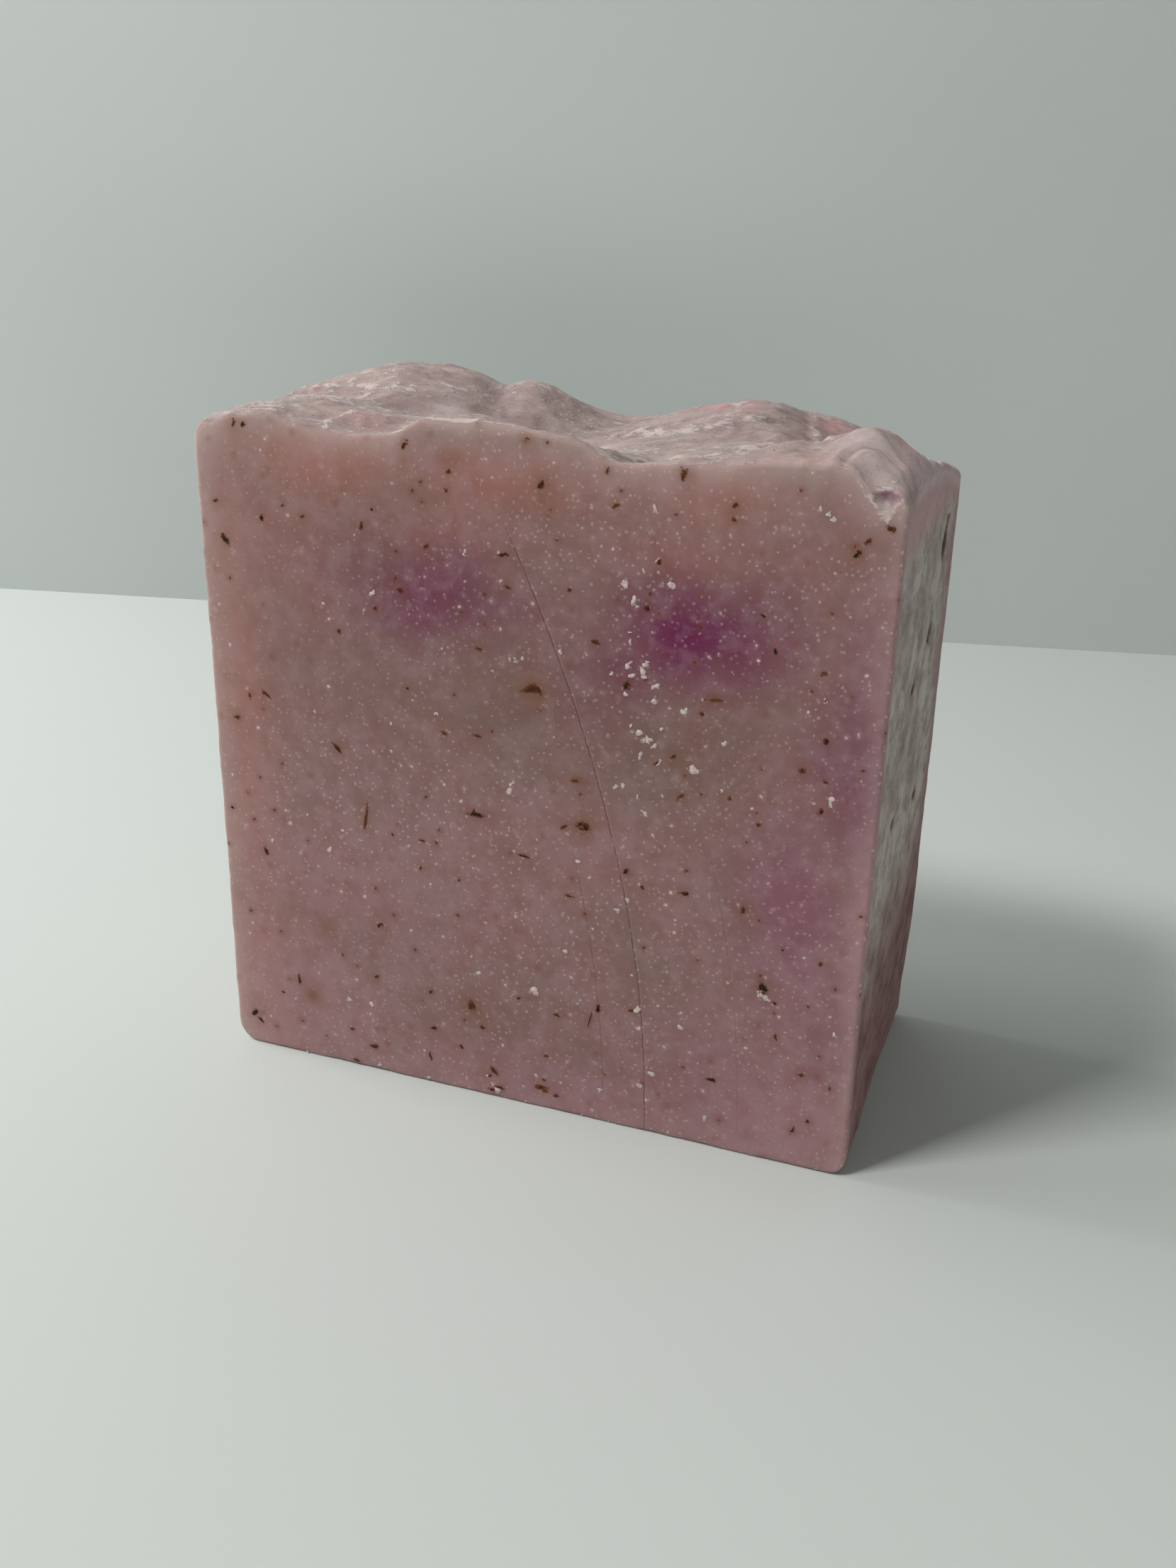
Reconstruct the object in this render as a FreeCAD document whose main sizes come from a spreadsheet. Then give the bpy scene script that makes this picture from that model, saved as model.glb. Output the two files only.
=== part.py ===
import FreeCAD, Part
from Sketcher import Constraint
import math
import os

# A bar of handmade soap, sliced upright from a loaf. The loaf was poured in a box
# mould, its top was left in soft swirls, and two cuts made the broad faces. The bar
# stands on its base. Its frame: x runs across the bar from the left mould wall to the
# right one, y from the front cut to the back cut, z up. The origin is in the middle of
# the base.

DRIVING_SIZES = {
    # Mould wall to mould wall, cut to cut, and the level that the swirls rise from
    "bar_width": 70.0,
    "bar_thickness": 34.0,
    "fill_height": 69.6,
    # Rounds of the mould's two bottom corners, seen from the front
    "left_base_round": 2.5,
    "right_base_round": 1.8,
    # Worn edges of the front cut and of the back cut
    "front_edge_round": 0.9,
    "back_edge_round": 1.2,
    # How far the top rolls over at the mould walls and at the cuts
    "wall_rim_round": 1.4,
    "cut_rim_round": 0.9,
    # The piece chipped out of the top edge near the front right corner: the radius of
    # the scoop, and how far its centre lies in from the right wall, out of the front
    # cut and above the fill level
    "chip_radius": 2.8,
    "chip_from_right": 2.1,
    "chip_out_front": 0.6,
    "chip_above_fill": 0.6,
}

# Each swirl is a smooth lobe of the poured top: its place as shares of the width and
# the thickness, its turn about z in degrees, then its half length, its half breadth
# and its rise in millimetres. A negative rise is a dip between lobes.
SWIRLS = {
    "left_mound": (0.20, 0.62, 20, 10.0, 10.0, 4.0),
    "left_swell": (0.11, 0.06, 0, 6.0, 7.5, 1.9),
    "left_crater": (0.14, 0.41, 0, 3.0, 2.2, -0.8),
    "left_gully": (0.29, 0.05, 20, 4.5, 3.0, -2.8),
    "front_tongue": (0.41, 0.03, -8, 15.0, 5.0, 4.1),
    "tongue_valley": (0.39, 0.31, -6, 10.0, 3.0, -1.2),
    "second_mound": (0.40, 0.68, 0, 7.5, 5.0, 3.0),
    "mound_valley": (0.335, 0.68, 15, 2.5, 8.5, -1.4),
    "middle_dip": (0.48, 0.74, 0, 6.5, 30.0, -2.1),
    "long_hump": (0.735, 0.65, 0, 8.0, 8.5, 2.5),
    "hump_foot": (0.65, 0.06, 0, 3.0, 5.0, -1.2),
    "right_lobe": (0.92, 0.19, 30, 9.5, 6.5, 4.0),
    "lobe_valley": (0.835, 0.57, 20, 2.5, 8.0, -0.7),
    "right_gully": (0.975, 0.19, 90, 7.0, 1.8, -1.2),
    "right_fall": (1.02, 0.24, 0, 2.5, 7.5, -3.0),
    "back_fall": (0.98, 1.09, 0, 8.5, 15.5, -4.4),
}
SWIRL_LENGTHS = ("length", "breadth", "rise")

# The swirled surface is laid through a grid of heights: its even step, and the places
# beside each rim, as shares of how far the rim rolls in
GRID_STEP = 3.4
RIM_SHARES = (-0.5, 0.5, 1.5)

doc = FreeCAD.newDocument("soap_bar_model")


def fill_sheet():
    """Write every driving size to the sheet, one named cell each. The spare height that
    the swirls are cut from follows from them: twice the highest rise."""
    sheet = doc.addObject("Spreadsheet::Sheet", "sizes")
    named = dict(DRIVING_SIZES)
    for swirl, values in SWIRLS.items():
        for what, value in zip(SWIRL_LENGTHS, values[3:]):
            named[f"{swirl}_{what}"] = value
    rises = "; ".join(f"{swirl}_rise" for swirl in SWIRLS)
    named["swirl_headroom"] = f"=2 * max({rises})"
    for row, (name, value) in enumerate(named.items(), start=1):
        sheet.set(f"A{row}", name)
        sheet.set(f"B{row}", str(value))
        sheet.setAlias(f"B{row}", name)
    doc.recompute()
    return sheet


sizes = fill_sheet()


def size(name):
    return float(sizes.get(name))


def origin_plane(body, role):
    return next(item for item in body.Origin.OriginFeatures if item.Role == role)


def outline_sketch(body):
    """The loaf slice's front outline: a U of base and walls with two rounded base
    corners, closed by a straight line above the swirls."""
    sketch = body.newObject("Sketcher::SketchObject", "slice_outline")
    sketch.AttachmentSupport = [(origin_plane(body, "XZ_Plane"), "")]
    sketch.MapMode = "FlatFace"
    half = size("bar_width") / 2
    top = size("fill_height") + size("swirl_headroom")
    left = size("left_base_round")
    right = size("right_base_round")

    def point(x, z):
        return FreeCAD.Vector(x, z, 0)

    def line(start, end):
        return sketch.addGeometry(Part.LineSegment(start, end), False)

    def corner(centre, radius, start_degrees):
        start = math.radians(start_degrees)
        circle = Part.Circle(centre, FreeCAD.Vector(0, 0, 1), radius)
        arc = Part.ArcOfCircle(circle, start, start + math.pi / 2)
        return sketch.addGeometry(arc, False)

    base = line(point(left - half, 0), point(half - right, 0))
    right_corner = corner(point(half - right, right), right, 270)
    right_wall = line(point(half, right), point(half, top))
    open_top = line(point(half, top), point(-half, top))
    left_wall = line(point(-half, top), point(-half, left))
    left_corner = corner(point(left - half, left), left, 180)

    def rule(*terms):
        return sketch.addConstraint(Constraint(*terms))

    start, end, x_axis, root = 1, 2, -1, 1
    rule("Tangent", base, end, right_corner, start)
    rule("Tangent", right_corner, end, right_wall, start)
    rule("Coincident", right_wall, end, open_top, start)
    rule("Coincident", open_top, end, left_wall, start)
    rule("Tangent", left_wall, end, left_corner, start)
    rule("Tangent", left_corner, end, base, start)
    rule("Vertical", right_wall)
    rule("Vertical", left_wall)
    rule("Horizontal", open_top)
    rule("PointOnObject", base, start, x_axis)
    bound = (
        ("sizes.left_base_round", rule("Radius", left_corner, left)),
        ("sizes.right_base_round", rule("Radius", right_corner, right)),
        ("sizes.bar_width", rule("DistanceX", open_top, end, open_top, start, 2 * half)),
        ("sizes.bar_width / 2", rule("DistanceX", x_axis, root, open_top, start, half)),
        ("sizes.fill_height + sizes.swirl_headroom",
         rule("DistanceY", x_axis, root, open_top, start, top)),
    )
    for formula, index in bound:
        sketch.setExpression(f"Constraints[{index}]", formula)
    doc.recompute()
    return sketch


def cut_outline_edges(pad, side):
    """Names of the straight edges of the base and the walls on one cut face: the front
    one for side -1, the back one for side 1."""
    y = side * size("bar_thickness") / 2
    top = size("fill_height") + size("swirl_headroom")
    names = []
    for number, edge in enumerate(pad.Shape.Edges, start=1):
        ends = [vertex.Point for vertex in edge.Vertexes]
        on_cut = all(abs(end.y - y) < 1e-6 for end in ends)
        on_open_top = all(abs(end.z - top) < 1e-6 for end in ends)
        if on_cut and not on_open_top:
            names.append(f"Edge{number}")
    return names


def loaf_slice():
    """The slice before its top is shaped: the outline through the bar's thickness,
    with the worn edges of both cuts."""
    body = doc.addObject("PartDesign::Body", "loaf_slice")
    sketch = outline_sketch(body)
    pad = body.newObject("PartDesign::Pad", "slice")
    pad.Profile = sketch
    pad.SideType = "Symmetric"
    pad.setExpression("Length", "sizes.bar_thickness")
    doc.recompute()
    for name, side in (("front_edge", -1), ("back_edge", 1)):
        base = body.Tip
        fillet = body.newObject("PartDesign::Fillet", f"worn_{name}")
        fillet.Base = (base, cut_outline_edges(base, side))
        fillet.setExpression("Radius", f"sizes.{name}_round")
        doc.recompute()
    return body


def rim_drop(depth, roll):
    """How far the top has rolled down at a depth inside a face, past a rim that rolls
    over a given width: a parabola, flat at the rim's inner end."""
    if depth >= roll:
        return 0.0
    return roll * (1 - depth / roll) ** 2


def swirl_height(x, y):
    """Height of the poured top: the fill level, plus each swirl's rise times
    exp(-u^2 - v^2), with u and v the distances along and across the swirl as parts of
    its half length and half breadth, less the roll at the four rims."""
    width = size("bar_width")
    thickness = size("bar_thickness")
    height = size("fill_height")
    for swirl, (across, back, turn, *lengths) in SWIRLS.items():
        length, breadth, rise = (size(f"{swirl}_{what}") for what in SWIRL_LENGTHS)
        away_x = x - (across - 0.5) * width
        away_y = y - (back - 0.5) * thickness
        angle = math.radians(turn)
        along = (away_x * math.cos(angle) + away_y * math.sin(angle)) / length
        beside = (away_y * math.cos(angle) - away_x * math.sin(angle)) / breadth
        height += rise * math.exp(-along ** 2 - beside ** 2)
    height -= rim_drop(width / 2 - abs(x), size("wall_rim_round"))
    height -= rim_drop(thickness / 2 - abs(y), size("cut_rim_round"))
    return height


def grid_places(span, roll):
    """Places of the height grid along one side: close together over each rim and even
    between them, from just outside one face to just outside the other."""
    rim = [span / 2 - share * roll for share in RIM_SHARES]
    inner = rim[-1]
    count = max(2, round(2 * inner / GRID_STEP))
    middle = [inner * (2 * step / count - 1) for step in range(1, count)]
    return [-place for place in rim] + middle + rim[::-1]


def swirl_cutter():
    """Everything above the poured top: the smooth surface through the grid of heights,
    carried straight up past the slice."""
    columns = grid_places(size("bar_width"), size("wall_rim_round"))
    rows = grid_places(size("bar_thickness"), size("cut_rim_round"))
    points = [[FreeCAD.Vector(x, y, swirl_height(x, y)) for y in rows] for x in columns]
    surface = Part.BSplineSurface()
    surface.interpolate(points)
    carried = FreeCAD.Vector(0, 0, 2 * size("swirl_headroom"))
    cutter = doc.addObject("Part::Feature", "above_the_swirls")
    cutter.Shape = surface.toShape().extrude(carried)
    return cutter


def chip_scoop():
    """The ball that the chip in the top edge near the front right corner follows."""
    ball = doc.addObject("Part::Sphere", "corner_chip")
    ball.setExpression("Radius", "sizes.chip_radius")
    ball.setExpression("Placement.Base.x", "sizes.bar_width / 2 - sizes.chip_from_right")
    ball.setExpression("Placement.Base.y", "-sizes.bar_thickness / 2 - sizes.chip_out_front")
    ball.setExpression("Placement.Base.z", "sizes.fill_height + sizes.chip_above_fill")
    return ball


def cut_away(name, base, tool):
    """Cut a tool from a base, and stop if the two share nothing to cut."""
    cut = doc.addObject("Part::Cut", name)
    cut.Base = base
    cut.Tool = tool
    doc.recompute()
    if not base.Shape.common(tool.Shape).Volume > 0:
        raise RuntimeError(f"{name} took nothing off")
    return cut


def check_model(part):
    """Stop if any object failed, or if the bar isn't one sound solid."""
    for item in doc.Objects:
        if "Invalid" in item.State or "Error" in item.State:
            raise RuntimeError(f"{item.Name} failed: {item.State}")
    shape = part.Shape
    if shape.isNull() or not shape.isValid() or len(shape.Solids) != 1:
        raise RuntimeError(f"{part.Label} is not one sound solid")


slice_body = loaf_slice()
swirled = cut_away("swirled_slice", slice_body, swirl_cutter())
soap_bar = cut_away("chipped_slice", swirled, chip_scoop())
soap_bar.Label = "soap_bar"
doc.recompute()
check_model(soap_bar)

os.makedirs("parts", exist_ok=True)
soap_bar.Shape.exportStep(f"parts/{soap_bar.Label}.step")
box = soap_bar.Shape.BoundBox
print(f"soap_bar: {box.XLength:.2f} x {box.YLength:.2f} x {box.ZLength:.2f} mm,",
      f"{soap_bar.Shape.Volume / 1000:.2f} cubic centimetres")
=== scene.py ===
"""Looks of a bar of handmade soap that stands on its base: the swirled and chipped bar
itself, the dried herb flecks in it and the pale crumbs on it, on a pale floor."""

import math

import bpy
import numpy as np
from mathutils import Matrix, Vector


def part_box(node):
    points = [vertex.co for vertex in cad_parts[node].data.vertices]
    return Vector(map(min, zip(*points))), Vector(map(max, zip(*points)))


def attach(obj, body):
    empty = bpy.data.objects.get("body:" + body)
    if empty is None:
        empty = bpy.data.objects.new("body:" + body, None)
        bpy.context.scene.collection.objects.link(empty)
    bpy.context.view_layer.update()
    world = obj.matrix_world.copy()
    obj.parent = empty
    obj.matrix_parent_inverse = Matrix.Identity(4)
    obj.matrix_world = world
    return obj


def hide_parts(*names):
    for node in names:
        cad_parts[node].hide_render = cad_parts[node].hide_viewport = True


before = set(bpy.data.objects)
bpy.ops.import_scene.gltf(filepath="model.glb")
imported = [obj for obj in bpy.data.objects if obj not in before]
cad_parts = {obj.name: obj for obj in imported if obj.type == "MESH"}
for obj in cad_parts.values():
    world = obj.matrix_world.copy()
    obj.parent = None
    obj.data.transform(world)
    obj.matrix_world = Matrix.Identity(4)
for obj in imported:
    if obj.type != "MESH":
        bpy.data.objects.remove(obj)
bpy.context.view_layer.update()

MM = 0.001
LOW, HIGH = (np.array(corner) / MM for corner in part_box("soap_bar"))
WIDTH = float(HIGH[0] - LOW[0])
THICKNESS = float(HIGH[1] - LOW[1])
FILL = 69.6
TOP_LIMIT = float(HIGH[2]) - 0.02

# Places on the bar are in millimetres as a maker would measure them: x from the left
# mould wall, y from the front cut, z from the base.
ORIGIN = np.array([-WIDTH / 2, -THICKNESS / 2, 0.0])

# Each swirl of the poured top: its place as shares of the width and the thickness, its
# turn in degrees, its half length, half breadth and rise
SWIRLS = {
    "left_mound": (0.20, 0.62, 20, 10.0, 10.0, 4.0),
    "left_swell": (0.11, 0.06, 0, 6.0, 7.5, 1.9),
    "left_crater": (0.14, 0.41, 0, 3.0, 2.2, -0.8),
    "left_gully": (0.29, 0.05, 20, 4.5, 3.0, -2.8),
    "front_tongue": (0.41, 0.03, -8, 15.0, 5.0, 4.1),
    "tongue_valley": (0.39, 0.31, -6, 10.0, 3.0, -1.2),
    "second_mound": (0.40, 0.68, 0, 7.5, 5.0, 3.0),
    "mound_valley": (0.335, 0.68, 15, 2.5, 8.5, -1.4),
    "middle_dip": (0.48, 0.74, 0, 6.5, 30.0, -2.1),
    "long_hump": (0.735, 0.65, 0, 8.0, 8.5, 2.5),
    "hump_foot": (0.65, 0.06, 0, 3.0, 5.0, -1.2),
    "right_lobe": (0.92, 0.19, 30, 9.5, 6.5, 4.0),
    "lobe_valley": (0.835, 0.57, 20, 2.5, 8.0, -0.7),
    "right_gully": (0.975, 0.19, 90, 7.0, 1.8, -1.2),
    "right_fall": (1.02, 0.24, 0, 2.5, 7.5, -3.0),
    "back_fall": (0.98, 1.09, 0, 8.5, 15.5, -4.4),
}
# Rounds of the rims, the base corners and the cut edges. The rims at the cuts and the
# cut edges are sharper than the solid's, because wear is added to them.
WALL_RIM_ROUND = 1.4
CUT_RIM_ROUND = 0.35
LEFT_BASE_ROUND = 2.5
RIGHT_BASE_ROUND = 1.8
FRONT_EDGE_ROUND = 0.5
BACK_EDGE_ROUND = 0.8

# Height of the mould walls, and how far down the skin is lifted with the swirls
WALL_HEIGHT = 70.0
LIFT_ZONE = 9.0

# Spacing of the slow waves that the wire left in the cuts
CUT_WAVE = 16

# How far in from a face its own relief reaches
FACE_DEPTH = 1.2

# The skin's lattice: its steps in from the edges, the base and the top, and how many
# even steps lie between them across, from front to back and up
EDGE_STEPS = (0.1, 0.12, 0.14, 0.18, 0.22, 0.26, 0.3, 0.34)
BASE_STEPS = (0.12, 0.16, 0.2, 0.26, 0.32, 0.4, 0.5)
TOP_STEPS = (0.12, 0.14, 0.18, 0.22, 0.26, 0.3, 0.34, 0.38, 0.42, 0.46)
EVEN_STEPS = (162, 78, 88)

# The notch of the chip near the top front right corner: its middle and half sizes, and
# the power of its diamond form, from 1 for a sharp diamond to 2 for an egg
CHIP_CENTRE = (68.05, -0.4, 69.0)
CHIP_HALVES = (1.75, 1.5, 2.15)
CHIP_POWER = 1.25

# How the top settled besides the swirls, mostly along the front cut and the right wall:
# place in plan, half length, half breadth and rise
SETTLED = (
    (9.5, 0, 4, 5, -0.5), (14.5, 0, 3, 3, -0.6), (19.5, 0, 3.2, 3, 0.5), (22.6, 0, 1.6, 2.5, -0.5),
    (27.8, 0, 3, 3, -0.75), (46.5, 0, 4.5, 3.5, 0.4), (67, 0.2, 1.5, 1.6, -1.5),
    (69.8, 20, 0.7, 14, 0.9), (67.6, 9, 2, 5, 0.5), (61, 5, 2.4, 3, -1.5),
    (43.4, 0, 1.7, 2.2, -0.6),
)

# The arcs pressed into the right lobe: their middle in plan, the radius of the deepest
# one, and their spacing and depth
ARC_MIDDLE = (67.3, 0.9)
ARC_RADIUS, ARC_REACH, ARC_SPACING, ARC_DEPTH = 3.3, 1.2, 1.7, 0.16

# The smooth trough behind the front tongue: its line in plan, the line of its plain
# skin, and how far each reaches to the sides
TROUGH_LINE, TROUGH_REACH = ((20, 14.5), (27, 11.5), (38, 11.5)), 3.2
PLAIN_LINE, PLAIN_REACH = ((21, 14), (27, 11.5), (38, 11.5)), 2.2

# How high the stirring and the crumbs stand on the top, and how much less of both
# there is in the trough
STIR_HEIGHT, CRUMBLE_HEIGHT, TROUGH_CALM = 0.36, 0.2, 0.75

# Ledges where one fold of the poured soap lies over the next: the line of the ledge in
# plan, how far its uphill side stands up, and how far the step reaches behind the line
LEDGES = {
    "tongue_lip": (((24.0, -0.8), (24.9, 0.6), (26.4, 1.7), (29.0, 2.2), (32.0, 2.5),
                    (35.5, 2.3), (38.5, 1.4)), 0.75, 3.4),
    "mound_foot": (((4.5, 16.5), (9.9, 15.2), (14.3, 14.3), (18.8, 14.5), (22.5, 15.6)),
                   -0.55, 3.0),
    "crater_rim": (((4.8, 13.2), (6.6, 11.0), (9.6, 10.2), (12.4, 10.8), (13.8, 12.6)),
                   0.5, 2.2),
    "swell_fold": (((13.6, -0.5), (14.4, 2.2), (16.2, 4.2), (18.8, 5.0)), 0.4, 1.6),
    "hump_front": (((43.6, 3.6), (47.5, 6.2), (52.5, 7.2), (56.0, 10.2)), -0.4, 2.6),
    "hump_crest": (((40.0, 16.4), (44.0, 14.6), (48.5, 15.2), (52.5, 17.6)), -0.35, 2.4),
    "lobe_back": (((56.0, 26.0), (56.6, 21.0), (58.6, 16.0), (60.4, 10.0)), -0.5, 2.2),
    "lobe_crack": (((63.6, 1.1), (65.0, 0.9), (66.3, 0.7), (67.6, 0.6)), 0.5, 1.2),
    "rim_crack": (((68.4, 0.8), (68.9, 3.0), (69.2, 6.0), (69.0, 9.0), (69.3, 14.0)),
                  -0.45, 1.0),
}
LEDGE_STEEPNESS = 0.16


class Noise:
    """Smooth random noise from -1 to 1. A cube of seeded random numbers repeats through
    space, and a point takes the smoothstep blend of the eight numbers around it."""

    SIZE = 32

    def __init__(self, seed):
        self.cube = np.random.default_rng(seed).uniform(-1, 1, (self.SIZE,) * 3)

    def at(self, points, spacing):
        scaled = points / spacing
        cell = np.floor(scaled).astype(int)
        share = scaled - cell
        share = share * share * (3 - 2 * share)
        total = 0.0
        for corner in np.ndindex(2, 2, 2):
            index = (cell + corner) % self.SIZE
            weight = np.prod(np.where(corner, share, 1 - share), axis=-1)
            total = total + weight * self.cube[index[..., 0], index[..., 1], index[..., 2]]
        return total

    def layers(self, points, spacing, count=4, fall=0.55):
        """Sum of noises, each of half the spacing and a fall share of the strength of
        the one before, brought back to about -1 to 1."""
        total, strength, whole = 0.0, 1.0, 0.0
        for layer in range(count):
            shift = 17.3 * layer
            total = total + strength * self.at(points + shift, spacing * 0.5 ** layer)
            whole += strength
            strength *= fall
        return total / whole * 1.6


def smooth(low, high, value):
    """Smoothstep: 0 below low, 1 above high, and 3t^2 - 2t^3 between."""
    share = np.clip((value - low) / (high - low), 0, 1)
    return share * share * (3 - 2 * share)


def bell(distance, reach):
    """exp(-(distance / reach)^2): 1 at no distance, fading to 0 past the reach."""
    return np.exp(-(distance / reach) ** 2)


def from_nought(noise):
    """A noise from -1 to 1 brought to 0 to 1."""
    return 0.5 + 0.5 * noise


def rim_drop(depth, roll):
    """How far the top has rolled down at a depth inside a face, past a rim that rolls
    over a given width: a parabola, flat at the rim's inner end."""
    return np.where(depth < roll, roll * (1 - np.clip(depth, 0, roll) / roll) ** 2, 0)


def swirl_height(x, y):
    """Height of the poured top: the fill level, plus each swirl's rise times
    exp(-u^2 - v^2), with u and v the distances along and across the swirl as parts of
    its half length and half breadth, less the roll at the four rims."""
    height = np.full(np.broadcast(x, y).shape, FILL)
    for across, back, turn, length, breadth, rise in SWIRLS.values():
        away_x = x - across * WIDTH
        away_y = y - back * THICKNESS
        angle = math.radians(turn)
        along = (away_x * math.cos(angle) + away_y * math.sin(angle)) / length
        beside = (away_y * math.cos(angle) - away_x * math.sin(angle)) / breadth
        height = height + rise * np.exp(-along ** 2 - beside ** 2)
    height = height - rim_drop(np.minimum(x, WIDTH - x), WALL_RIM_ROUND)
    return height - rim_drop(np.minimum(y, THICKNESS - y), CUT_RIM_ROUND)


def line_distance(x, y, line):
    """Distance in plan from each point to a broken line, with its sign: positive on the
    left of the line as it runs. The nearest stretch gives both."""
    best = np.full(x.shape, np.inf)
    side = np.ones(x.shape)
    for (ax, ay), (bx, by) in zip(line[:-1], line[1:]):
        run_x, run_y = bx - ax, by - ay
        share = ((x - ax) * run_x + (y - ay) * run_y) / (run_x ** 2 + run_y ** 2)
        share = np.clip(share, 0, 1)
        off_x, off_y = x - ax - share * run_x, y - ay - share * run_y
        distance = np.hypot(off_x, off_y)
        nearer = distance < best
        best = np.where(nearer, distance, best)
        side = np.where(nearer, np.sign(run_x * off_y - run_y * off_x), side)
    return best * side


folds = Noise(11)
grit = Noise(12)
streaks = Noise(13)


def ledge_relief(x, y):
    """Relief of the folds, and how near each point is to a ledge's crest. A ledge lifts
    the ground on the right of its line and lowers it on the left, by
    rise * (1 / (1 + exp(d / steepness)) - 0.5), and both fade with the distance d over
    the ledge's reach."""
    relief = np.zeros(x.shape)
    crest = np.zeros(x.shape)
    wander = 0.35 * folds.at(np.stack([x, y, 0 * x], -1), 2.1)
    for line, rise, reach in LEDGES.values():
        distance = line_distance(x, y, line) + wander
        lift = 1 / (1 + np.exp(np.clip(distance / LEDGE_STEEPNESS, -40, 40))) - 0.5
        relief = relief + rise * lift * bell(distance, reach)
        crest = np.maximum(crest, bell(distance + math.copysign(0.25, rise), 0.42))
    return relief, crest


def stirred_relief(x, y):
    """Small relief of the stirred top, from -1 to 1: layers of noise drawn out along
    the stirring, which bends as it runs to the right."""
    bend = 3.2 * np.sin(x / 11.0) + 1.6 * np.sin(x / 4.7 + 1.0)
    place = np.stack([x / 3.2, y + bend, 0 * x], -1)
    coarse = folds.layers(place, 1.9, 4)
    fine = grit.layers(np.stack([x / 1.6, y + 0.4 * bend, 0 * x + 5], -1), 0.9, 3)
    return 0.7 * coarse + 0.3 * fine


def crumbled_relief(x, y):
    """Crumbs and sharp wrinkles of the top, from -1 to 1: one minus the size of a
    noise, which makes thin ridges where the noise crosses zero."""
    place = np.stack([x / 1.8, y, 0 * x + 3], -1)
    ridges = 1 - 2.4 * np.abs(grit.layers(place, 1.5, 3))
    grains = grit.at(np.stack([x, y, 0 * x + 8], -1), 0.7)
    return 0.65 * np.maximum(ridges, -1) + 0.35 * grains


def top_height(x, y):
    """Height of the finished top: the swirls, then the ledges and the stirred relief,
    which are calmer near the rims and in the trough, the crumbs, the settled places and
    the lobe's arcs, and none of it above the bar's full height."""
    relief, _ = ledge_relief(x, y)
    stirred = stirred_relief(x, y)
    rim = np.minimum(np.minimum(x, WIDTH - x) / 1.2, np.minimum(y, THICKNESS - y) / 1.6)
    calm = 0.25 + 0.75 * smooth(0.1, 1.6, rim)
    trough = bell(line_distance(x, y, TROUGH_LINE), TROUGH_REACH)
    amount = STIR_HEIGHT * calm * (1 - TROUGH_CALM * trough)
    height = swirl_height(x, y) + relief * calm + amount * stirred
    height = height + CRUMBLE_HEIGHT * (1 - TROUGH_CALM * trough) * crumbled_relief(x, y)
    for middle_x, middle_y, length, breadth, rise in SETTLED:
        height = height + rise * bell(x - middle_x, length) * bell(y - middle_y, breadth)
    from_middle = np.hypot(x - ARC_MIDDLE[0], y - ARC_MIDDLE[1])
    arcs = np.cos(2 * math.pi * (from_middle - ARC_RADIUS) / ARC_SPACING)
    height = height - ARC_DEPTH * arcs * bell(from_middle - ARC_RADIUS, ARC_REACH)
    return np.minimum(height, TOP_LIMIT)


def graded_places(span, low_steps, high_steps, middle_count):
    """Places of lattice lines from 0 to span: given steps at each end, and even ones
    between them."""
    low = np.concatenate([[0.0], np.cumsum(low_steps)])
    high = span - np.concatenate([[0.0], np.cumsum(high_steps)])[::-1]
    middle = np.linspace(low[-1], high[0], middle_count + 1)[1:-1]
    return np.concatenate([low, middle, high])


def lattice_skin(counts):
    """Closed skin of a box lattice: the index triples on its surface, and its quads,
    each turned outwards."""
    number = np.full([count + 1 for count in counts], -1)
    skin = np.ones(number.shape, bool)
    skin[1:-1, 1:-1, 1:-1] = False
    number[skin] = np.arange(skin.sum())
    quads = []
    for axis in range(3):
        for end in (0, -1):
            side = np.take(number, end, axis=axis)
            ring = [side[:-1, :-1], side[1:, :-1], side[1:, 1:], side[:-1, 1:]]
            outward = (end == -1) != (axis == 1)
            ring = ring if outward else ring[::-1]
            quads.append(np.stack(ring, -1).reshape(-1, 4))
    return np.argwhere(skin), np.concatenate(quads)


def square_to_round(first, second):
    """Turn the square of two depths into an edge, each from 0 to 1, into a quarter
    disc: both are scaled by the larger one over their length."""
    length = np.hypot(first, second)
    scale = np.maximum(first, second) / np.maximum(length, 1e-9)
    return first * scale, second * scale


def round_base_corners(x, z):
    """Round the mould's two bottom corners in the front outline."""
    for centre, sign, radius in ((LEFT_BASE_ROUND, -1, LEFT_BASE_ROUND),
                                 (WIDTH - RIGHT_BASE_ROUND, 1, RIGHT_BASE_ROUND)):
        out_x = sign * (x - centre) / radius
        out_z = (radius - z) / radius
        inside = (out_x > 0) & (out_z > 0)
        round_x, round_z = square_to_round(out_x, out_z)
        x = np.where(inside, centre + sign * radius * round_x, x)
        z = np.where(inside, radius - radius * round_z, z)
    return x, z


def outline_depth(x, z):
    """Depth inside the front outline of walls and base, and the way out of it."""
    left, right, base = x, WIDTH - x, z
    depth = np.minimum(np.minimum(left, right), base)
    out_x = np.where(left <= depth + 1e-9, -1.0, np.where(right <= depth + 1e-9, 1.0, 0.0))
    out_z = np.where(out_x == 0, -1.0, 0.0)
    for centre, sign, radius in ((LEFT_BASE_ROUND, -1, LEFT_BASE_ROUND),
                                 (WIDTH - RIGHT_BASE_ROUND, 1, RIGHT_BASE_ROUND)):
        off_x, off_z = x - centre, z - radius
        inside = (sign * off_x > 0) & (off_z < 0)
        length = np.maximum(np.hypot(off_x, off_z), 1e-9)
        depth = np.where(inside, radius - length, depth)
        out_x = np.where(inside, off_x / length, out_x)
        out_z = np.where(inside, off_z / length, out_z)
    return depth, out_x, out_z


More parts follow.
